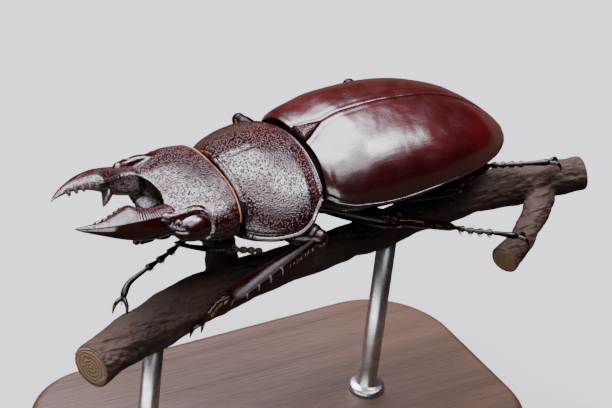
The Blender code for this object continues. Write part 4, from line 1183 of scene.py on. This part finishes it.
def tibia_part(leg):
    """A shin that widens to its end, edged by thorns, with two spurs at the ankle."""
    _, knee, ankle, square, along, outer = leg_lines(leg)
    _, thorns, wide = leg_row(leg)
    start = knee - along * 0.1
    run = ankle - start
    sizes = ((0.4, 0.45), (0.5, 0.55), (0.5, 0.45 + 0.27 * wide), (0.48, 0.86 * wide), (0.46, wide),
             (0.3, 0.8 * wide))
    parts = [tube([start + run * share for share in (0, 0.12, 0.35, 0.7, 0.93, 1.02)], sizes, sides=28,
                  across=square, fullness=1.7, round_ends=2),
             tube([start + run * share + square * 0.36 for share in (0.1, 0.5, 0.95)],
                  ((0.2, 0.16), (0.22, 0.2), (0.16, 0.2)), sides=10, round_ends=4)]
    for k in range(thorns):
        root = start + run * (0.42 + 0.53 * (k + 0.5) / thorns) + outer * 0.4 * wide
        parts.append(thorn(root, root + outer * (0.4 + 0.62 * wide) + along * 0.45, along * 0.2, 0.3))
    for k in range(2 * thorns + 3):
        share = 0.2 + 0.72 * (k + 0.5) / (2 * thorns + 3)
        root = start + run * share + outer * (0.5 + 0.45 * (wide - 0.4) * share) * 0.75
        parts.append(thorn(root, root + outer * 0.42 + along * 0.22, along * 0.05, 0.15))
    for turn in (-1, 1):
        root = ankle + outer * turn * wide * 0.6 - along * 0.35
        parts.append(thorn(root, root + along * 1.25 + outer * turn * 0.55, outer * turn * 0.2, 0.3))
    return fused(parts, 0.08, 3)


def foot_way(leg):
    """The foot's path from the ankle to the claws."""
    return through((LEGS[leg][2], *LEGS[leg][3]), 16)


def on_way(path, share):
    """Points at shares of the length of a path."""
    run = run_of(path)
    return between(path, run, np.atleast_1d(share) * run[-1])


def claws_part(leg):
    """The long last foot joint with its pair of hooked claws."""
    path = foot_way(leg)
    parts = [tube(on_way(path, np.linspace(0.54, 1.0, 6)), (0.2, 0.22, 0.25, 0.3, 0.36, 0.28), sides=18,
                  steps=4, across=(0.2, 0.1, 0.97), round_ends=3)]
    ahead = unit(path[-1] - path[-9])
    side = unit(np.cross(ahead, (0, 0, 1.0)))
    for turn in (-1, 1):
        root = path[-1] - ahead * 0.3 + side * turn * 0.07
        knuckle = root + ahead * 0.85 + side * turn * 0.5 + (0, 0, 0.05)
        tip = root + ahead * 1.3 + side * turn * 0.65 - (0, 0, 0.68)
        parts.append(tube((root, knuckle, tip), (0.24, 0.2, 0.05), sides=12, across=side, round_ends=1))
    parts.append(tube((path[-1] - ahead * 0.2, path[-1] + ahead * 0.5), (0.1, 0.05), sides=8))
    return gathered(parts)


class STAG_OT_legs(bpy.types.Operator):
    """Adds the six legs with their spines and claws"""
    bl_idname = "stag.legs"
    bl_label = "Legs"

    def execute(self, context):
        joint = unit_object("foot_joint", turned(zip(JOINT_RADIUS, JOINT_RISE), 18, squash=0.85))
        lobes = 0.535 * np.arange(TARSUS_LOBES) / TARSUS_LOBES
        for leg in LEGS:
            thigh = "Limb cuticle" if leg == "front_left" else "Shin cuticle"
            piece("thigh_" + leg, femur_part(leg), thigh, "femur_" + leg)
            piece("shin_" + leg, tibia_part(leg), "Shin cuticle", "tibia_" + leg)
            piece("claws_" + leg, claws_part(leg), "Limb cuticle", "tarsus_" + leg)
            path = foot_way(leg)
            roots = on_way(path, 0.03 + lobes)
            ahead = unit(on_way(path, 0.12 + lobes) - roots)
            size = (0.4, 0.4, 0.55 * run_of(path)[-1] / TARSUS_LOBES * 1.08)
            row_of("foot_joints_" + leg, joint, "Limb cuticle", roots, size, ahead)
        return {"FINISHED"}


# ---------------------------------------------------------------- hair

NAPE_HAIRS = 760     # in each of its two rows


def along_line(first, last, count):
    return np.array(first, float) + (np.array(last, float) - first) * np.linspace(0, 1, count)[:, None]


def hair(name, rows, thickness, scatter, seed):
    """Rows of hair as one piece. Each row: (roots, way, reach, curl)."""
    marks = {"way": [], "reach": [], "curl": [], "place": []}
    for k, (roots, way, reach, curl) in enumerate(rows):
        shape = (len(roots), 3)
        marks["way"].append(unit(np.broadcast_to(np.array(way, float), shape)))
        marks["reach"].append(np.full(len(roots), reach * MM))
        marks["curl"].append(np.broadcast_to(np.array(curl, float) * MM, shape))
        line = (k + 0.5) / len(rows)
        marks["place"].append(along_line((0.02, line, 0), (0.97, line, 0), len(roots)))
    marks = {key: np.concatenate(values) for key, values in marks.items()}
    thickness *= MM * bpy.context.scene.stag_beetle.hair_thickness
    grown(name, (np.vstack([row[0] for row in rows]), []), "Bristles", "Golden hair",
          {"Thickness": thickness, "Scatter": scatter, "Seed": seed}, marks)


def leg_hair_rows(leg):
    """Combs on the shin's edges and the thigh's outer edge, a knee tuft and pads under the foot."""
    hip, knee, ankle, square, along, outer = leg_lines(leg)
    wide = leg_row(leg)[2]
    start = knee - along * 0.1
    rows = []
    for turn, first, last, count, far in ((1, 0.12, 0.38, 7, 0.5), (-1, 0.08, 0.9, 15, 0.25)):
        share = np.linspace(first, last, count)[:, None]
        half = 0.42 + (wide - 0.42) * share
        roots = start + (ankle - start) * share + outer * turn * half * 0.8 + square * 0.2
        rows.append((roots, outer * turn + along * 0.55 + square * 0.2, far, along * 0.14))
    thigh = hip + (knee - hip) * np.linspace(0.35, 0.97, 14)[:, None]
    way = unit(knee - hip)
    up = unit(np.cross(square, way))
    for turn in (1, -1):
        rows.append((thigh + up * turn * 0.95, up * turn + way * 0.8, 0.3, way * 0.08))
    for k in range(5):
        lean = square * cos(tau * k / 5) + outer * sin(tau * k / 5)
        roots = knee + lean * 0.55 + along_line((0, 0, 0), along * 0.5, 7)
        rows.append((roots, lean * 0.7 + outer - along * 0.3, 0.42, along * 0.1))
    path = foot_way(leg)
    for k in range(TARSUS_LOBES):
        rim, next_rim = on_way(path, (k + np.array((0.9, 1.2))) * 0.545 / TARSUS_LOBES)
        ahead = unit(next_rim - rim)
        below = np.array((0, 0, -1.0)) + ahead * ahead[2]
        for turn in (-0.7, 0.0, 0.7):
            lean = below + np.cross(ahead, below) * turn
            roots = rim + unit(lean) * 0.32 + along_line((0, 0, 0), -ahead * 0.12, 5)
            rows.append((roots, lean * 0.9 + ahead, 0.46, ahead * 0.1))
    return rows


class STAG_OT_hair(bpy.types.Operator):
    """Adds the golden fringe behind the head, and the bristles of the legs, clubs and mouth"""
    bl_idname = "stag.hair"
    bl_label = "Hair"

    def execute(self, context):
        rows = []
        for ring in head_rings(np.array((-9.38, -9.36)), np.array((0.993, 0.991))):
            over = ring[2:59]
            roots = between(over, np.arange(len(over)), np.linspace(0, len(over) - 1, NAPE_HAIRS))
            out = unit((roots - (0, -9.4, -1.6)) * (1, 0, 1))
            rows.append((roots, out * 0.6 + (0, 0.8, 0), 0.085, (0, 0.02, 0)))
        hair("nape_fringe", rows, 0.013, 0.12, 3)
        for row in LEG_ROWS:
            rows = [line for name in SIDES for line in leg_hair_rows(row + "_" + name)]
            hair("leg_bristles_" + row, rows, 0.032, 0.2, 5)
        rows = []
        for name, side in SIDES.items():
            club = through(mirrored(ANTENNA_CLUB[name], side), 6)
            ahead = unit(np.gradient(club, axis=0))
            first = unit(np.cross(ahead, SLANT))
            second = np.cross(first, ahead)
            for k in range(8):
                lean = first * cos(tau * k / 8) + second * sin(tau * k / 8)
                rows.append((club + lean * 0.36, lean + ahead * 0.6, 0.2, (0, 0, 0)))
        hair("club_bristles", rows, 0.018, 0.3, 7)
        row = along_line((-1.6, -16.0, -4.2), (1.6, -16.0, -4.2), 30)
        hair("mouth_bristles", [(row, (0, -1, 0.1), 0.6, (0, 0, -0.1))], 0.02, 0.25, 9)
        return {"FINISHED"}


# ---------------------------------------------------------------- perch and stand

BRANCH_PATH = ((7.4, -25.2, -12.9), (5.0, -18.9, -12.3), (3.7, -13.1, -11.5), (3.4, -7.5, -10.5),
               (3.5, -2.0, -9.7), (3.1, 5.4, -9.2), (2.1, 12.0, -9.2), (1.2, 18.5, -9.0),
               (1.4, 25.6, -8.4), (2.9, 30.6, -7.7), (3.9, 34.0, -7.2))
BRANCH_RADII = (2.2, 2.3, 2.4, 2.3, 1.85, 1.75, 1.8, 1.9, 2.0, 2.0, 1.75)
FORK_PATH = ((3.4, -8.4, -10.4), (0.4, -7.2, -9.9), (-2.8, -5.9, -9.2), (-5.6, -4.8, -8.4))
FORK_RADII = (1.9, 1.7, 1.6, 1.5)
TWIG_PATH = ((2.9, 30.2, -8.2), (5.6, 27.2, -9.2), (8.1, 24.0, -10.0), (9.8, 20.6, -11.2))
TWIG_RADII = (1.5, 1.4, 1.35, 1.5)
LIMBS = ((BRANCH_PATH, BRANCH_RADII), (FORK_PATH, FORK_RADII), (TWIG_PATH, TWIG_RADII))
DISC = ((0.96, -0.5), (0.95, 0.0), (0.92, 0.05), (0.75, 0.055), (0.55, 0.055), (0.35, 0.055), (0.15, 0.055))
DISC_SIDES = 48
BASE_THICKNESS = 4.5
BASE_LENGTH = 50.0
BASE_WIDTH = 30.0
BASE_CORNER = 9.0
BASE_EDGE = 1.1
ROD_RADIUS = 1.0
ROD_PLACES = {"front": -17.0, "rear": 11.0}
# The collar at a rod's foot: (out from the rod, up from the base).
COLLAR = ((0.9, -0.02), (0.95, 0.15), (0.85, 0.5), (0.6, 0.62), (0.1, 0.66), (0.0, 0.8), (0.0, 3.0))


class STAG_OT_perch(bpy.types.Operator):
    """Adds the cut branch that the beetle grips, and the pale wood of its four sawn ends"""
    bl_idname = "stag.perch"
    bl_label = "Perch"

    def execute(self, context):
        points, faces = fused([tube(path, radii, sides=40, steps=6) for path, radii in LIMBS], 0.17, 2)
        bark = np.ones(len(points))
        discs = []
        ends = [(path[-1], path[-2], radii[-1]) for path, radii in LIMBS]
        for tip, before, radius in ((*BRANCH_PATH[:2], BRANCH_RADII[0]), *ends):
            out = unit(np.array(tip) - before)
            near = np.linalg.norm(points - tip, axis=1) < radius * 1.3
            bark[near] = np.minimum(bark[near], np.clip(-((points[near] - tip) @ out) / 0.5, 0, 1))
            first = unit(np.cross(out, (0, 0, 1.0)))
            disc, disc_faces = turned([(share * radius, rise) for share, rise in DISC], DISC_SIDES)
            discs.append((tip + disc @ np.array((first, np.cross(first, out), out)), disc_faces))
        values = {"Depth": context.scene.stag_beetle.bark_depth}
        grown("perch_bark", (points, faces), "Bark relief", "Bark", values, {"bark": bark}, "perch_branch")
        ring = np.append(np.repeat([share for share, _ in DISC], DISC_SIDES), (0.9, 0.0))
        piece("sawn_ends", gathered(discs), "Cut wood", ring=np.tile(ring, len(discs)))
        return {"FINISHED"}


class STAG_OT_stand(bpy.types.Operator):
    """Adds the flat wooden base with its rounded edge, and the two steel rods in their collars"""
    bl_idname = "stag.stand"
    bl_label = "Stand"

    def execute(self, context):
        edge = [(BASE_EDGE * (1 - sin(a)), BASE_EDGE * (1 - cos(a))) for a in np.linspace(0, pi / 2, 7)]
        levels = [(inset, BASE_TOP - BASE_THICKNESS + rise) for inset, rise in edge]
        levels += [(inset, BASE_TOP - rise) for inset, rise in reversed(edge)]
        turn = np.concatenate([np.linspace(k * pi / 2, (k + 1) * pi / 2, 14) for k in range(4)])
        corner = np.repeat(((1, 1), (-1, 1), (-1, -1), (1, -1)), 14, axis=0)
        x, y = (BASE_CENTRE + corner * (BASE_WIDTH / 2 - BASE_CORNER, BASE_LENGTH / 2 - BASE_CORNER)).T
        rings = [np.stack((x + (BASE_CORNER - inset) * np.cos(turn), y + (BASE_CORNER - inset) * np.sin(turn),
                           np.full(len(turn), level)), -1) for inset, level in levels]
        piece("stand_plate", skin(rings), "Stand wood", "stand_base")
        path = through(BRANCH_PATH, 8)
        radii = eased([(p[1], radius) for p, radius in zip(BRANCH_PATH, BRANCH_RADII)], path[:, 1])
        for name, place in ROD_PLACES.items():
            i = np.argmin(np.abs(path[:, 1] - place))
            outline = [(ROD_RADIUS + out, BASE_TOP + rise) for out, rise in COLLAR]
            outline.append((ROD_RADIUS, path[i, 2] - radii[i] + 0.9))
            piece("rod_" + name, turned(outline, 40, path[i]), "Stand steel", "stand_rod_" + name)
        return {"FINISHED"}


# ---------------------------------------------------------------- stage

CAMERA_AT = (187.6, -129.3, 138.8)
CAMERA_AIM = (3.77, -0.44, -2.76)
CAMERA_UP = (-0.494, 0.197, 0.847)
FLOOR_RADII = (3000, 1200, 300, 60)
FLOOR_SIDES = 96
BACKDROP = (0.95, 0.94, 0.95, 1)
# Each soft glow of the studio sky: (way to it, angles of its bright middle and its end, brightness, tint).
SKY_GLOWS = (((0.05, 0.0, 1.0), 20, 38, 0.27, (0.97, 0.93, 1.04)),
             ((-0.48, 0.0, 0.87), 13, 29, 1.05, (0.95, 0.92, 1.07)),
             ((0.03, 0.36, 0.93), 8, 13, 1.2, (0.98, 0.96, 1.04)),
             ((-0.35, -0.5, 0.8), 6, 24, 0.24, (0.96, 0.94, 1.05)),
             ((0.53, -0.2, 0.82), 6, 24, 0.1, (1.0, 0.96, 0.98)),
             ((0.9, -0.3, 0.1), 10, 60, 0.0007, (1.0, 0.8, 0.8)),
             ((-0.86, 0.42, 0.05), 6, 30, 0.007, (1.0, 0.28, 0.07)))


def aimed(name, data, where, target, up):
    """A new object at a place, its own -Z towards the target."""
    where, target = Vector(placed(where)), Vector(placed(target))
    back = (where - target).normalized()
    right = Vector(up).cross(back).normalized()
    turn = Matrix((right, back.cross(right), back)).transposed().to_4x4()
    obj = added(name, data)
    obj.matrix_world = Matrix.Translation(where) @ turn
    return obj


class STAG_OT_stage(bpy.types.Operator):
    """Adds the pale floor, the soft lights, the quiet surroundings and the camera"""
    bl_idname = "stag.stage"
    bl_label = "Stage"

    def execute(self, context):
        settings = context.scene.stag_beetle
        level = (BASE_LOW[2] - ORIGIN[2]) / MM - 0.02
        points, faces = turned([(radius, level) for radius in FLOOR_RADII], FLOOR_SIDES)
        middle = list(range(len(points) - 2 - FLOOR_SIDES, len(points) - 2))
        mesh = bpy.data.meshes.new("floor")
        mesh.from_pydata(placed(points[:-2]).tolist(), [], faces[:-2 * FLOOR_SIDES] + [middle])
        mesh.materials.append(surface("Floor"))
        added("floor", mesh)

        world = bpy.data.worlds.new("Studio")
        world.use_nodes = True
        tree = world.node_tree
        spot = node(tree, "ShaderNodeTexCoord").outputs["Generated"]
        height = node(tree, "ShaderNodeSeparateXYZ", {0: spot}).outputs["Z"]
        glow = blended(tree, ranged(tree, height, -0.2, 0.7), shade((0.4, 0.15, 0.08), settings.fill_strength),
                       shade((0.6, 0.5, 0.6), settings.fill_strength))
        for way, inner, outer, power, tint in SKY_GLOWS:
            values = {0: spot, 1: Vector(way).normalized()}
            facing = node(tree, "ShaderNodeVectorMath", values, operation="DOT_PRODUCT").outputs["Value"]
            share = ranged(tree, facing, cos(radians(outer)), cos(radians(inner)))
            light = shade(tint, power * settings.light_power)[:3]
            glow = vector(tree, "ADD", glow, vector(tree, "SCALE", light, share))
        seen = node(tree, "ShaderNodeLightPath").outputs["Is Camera Ray"]
        tree.links.new(blended(tree, seen, glow, BACKDROP), tree.nodes["Background"].inputs["Color"])
        context.scene.world = world

        lamp = bpy.data.lights.new("low_card", "AREA")
        lamp.shape = "RECTANGLE"
        lamp.size, lamp.size_y = 0.045, 0.17
        lamp.energy = settings.light_power * 0.008
        lamp.color = (1.0, 0.97, 0.98)
        card = aimed("low_card", lamp, (48, -94, -14), EYE_CENTRE, (0, 1, 0.1))
        card.visible_camera = False
        card.visible_diffuse = False

        lens = bpy.data.cameras.new("display_camera")
        lens.lens = 160
        lens.sensor_width = 36
        lens.clip_start = 0.01
        lens.clip_end = 20
        context.scene.camera = aimed("display_camera", lens, CAMERA_AT, CAMERA_AIM, CAMERA_UP)
        return {"FINISHED"}


# ---------------------------------------------------------------- add-on

def colour_setting(name, description, default):
    return bpy.props.FloatVectorProperty(name=name, description=description, subtype="COLOR", size=3,
                                         min=0, max=1, default=default)


def share_setting(name, description, default, low, high, **kind):
    return bpy.props.FloatProperty(name=name, description=description, default=default, min=low, max=high,
                                   **{"subtype": "FACTOR", **kind})


def size_setting(*values):
    return share_setting(*values, subtype="DISTANCE", unit="LENGTH")


class StagBeetleSettings(bpy.types.PropertyGroup):
    body_colour: colour_setting("Body", "Head, pronotum and jaws", (0.019, 0.0006, 0.001))
    wing_colour: colour_setting("Wing cases", "The two wing cases", (0.032, 0.0008, 0.0015))
    limb_colour: colour_setting("Legs", "Legs, feelers and underside", (0.006, 0.0009, 0.0008))
    eye_colour: colour_setting("Eyes", "The compound eyes", (0.022, 0.003, 0.0025))
    hair_colour: colour_setting("Hair", "Fringe and bristles", (0.62, 0.27, 0.075))
    bark_colour: colour_setting("Bark", "The perch", (0.034, 0.0165, 0.0095))
    stand_colour: colour_setting("Stand", "The wooden base", (0.055, 0.026, 0.013))
    floor_colour: colour_setting("Floor", "The studio floor", (0.40, 0.39, 0.38))
    granule_size: size_setting("Granules", "Spacing of the granules on the flanks", 0.00036, 0.0001, 0.001)
    bark_depth: size_setting("Bark depth", "How deep the bark's relief is", 0.0007, 0.0, 0.002)
    hair_thickness: share_setting("Hair thickness", "Thickness of all hair, 1 as built", 1.0, 0.3, 3.0)
    light_power: share_setting("Light", "Brightness of the soft glow overhead", 17.0, 0.0, 100.0)
    fill_strength: share_setting("Fill", "Brightness of the surroundings", 0.035, 0.0, 5.0)


STEPS = (STAG_OT_trunk, STAG_OT_wing_cases, STAG_OT_head, STAG_OT_mandibles, STAG_OT_antennae, STAG_OT_legs,
         STAG_OT_hair, STAG_OT_perch, STAG_OT_stand, STAG_OT_stage)


class STAG_PT_panel(bpy.types.Panel):
    """Settings and build steps of the display beetle"""
    bl_idname = "STAG_PT_panel"
    bl_label = "Stag beetle"
    bl_space_type = "VIEW_3D"
    bl_region_type = "UI"
    bl_category = "Stag beetle"

    def draw(self, context):
        for key in StagBeetleSettings.__annotations__:
            self.layout.prop(context.scene.stag_beetle, key)
        for step in STEPS:
            self.layout.operator(step.bl_idname)


CLASSES = (StagBeetleSettings, *STEPS, STAG_PT_panel)


def register():
    for cls in CLASSES:
        bpy.utils.register_class(cls)
    bpy.types.Scene.stag_beetle = bpy.props.PointerProperty(type=StagBeetleSettings)


def unregister():
    del bpy.types.Scene.stag_beetle
    for cls in reversed(CLASSES):
        bpy.utils.unregister_class(cls)


def main():
    register()
    for step in STEPS:
        group_name, name = step.bl_idname.split(".")
        getattr(getattr(bpy.ops, group_name), name)()


if __name__ == "__main__":
    main()
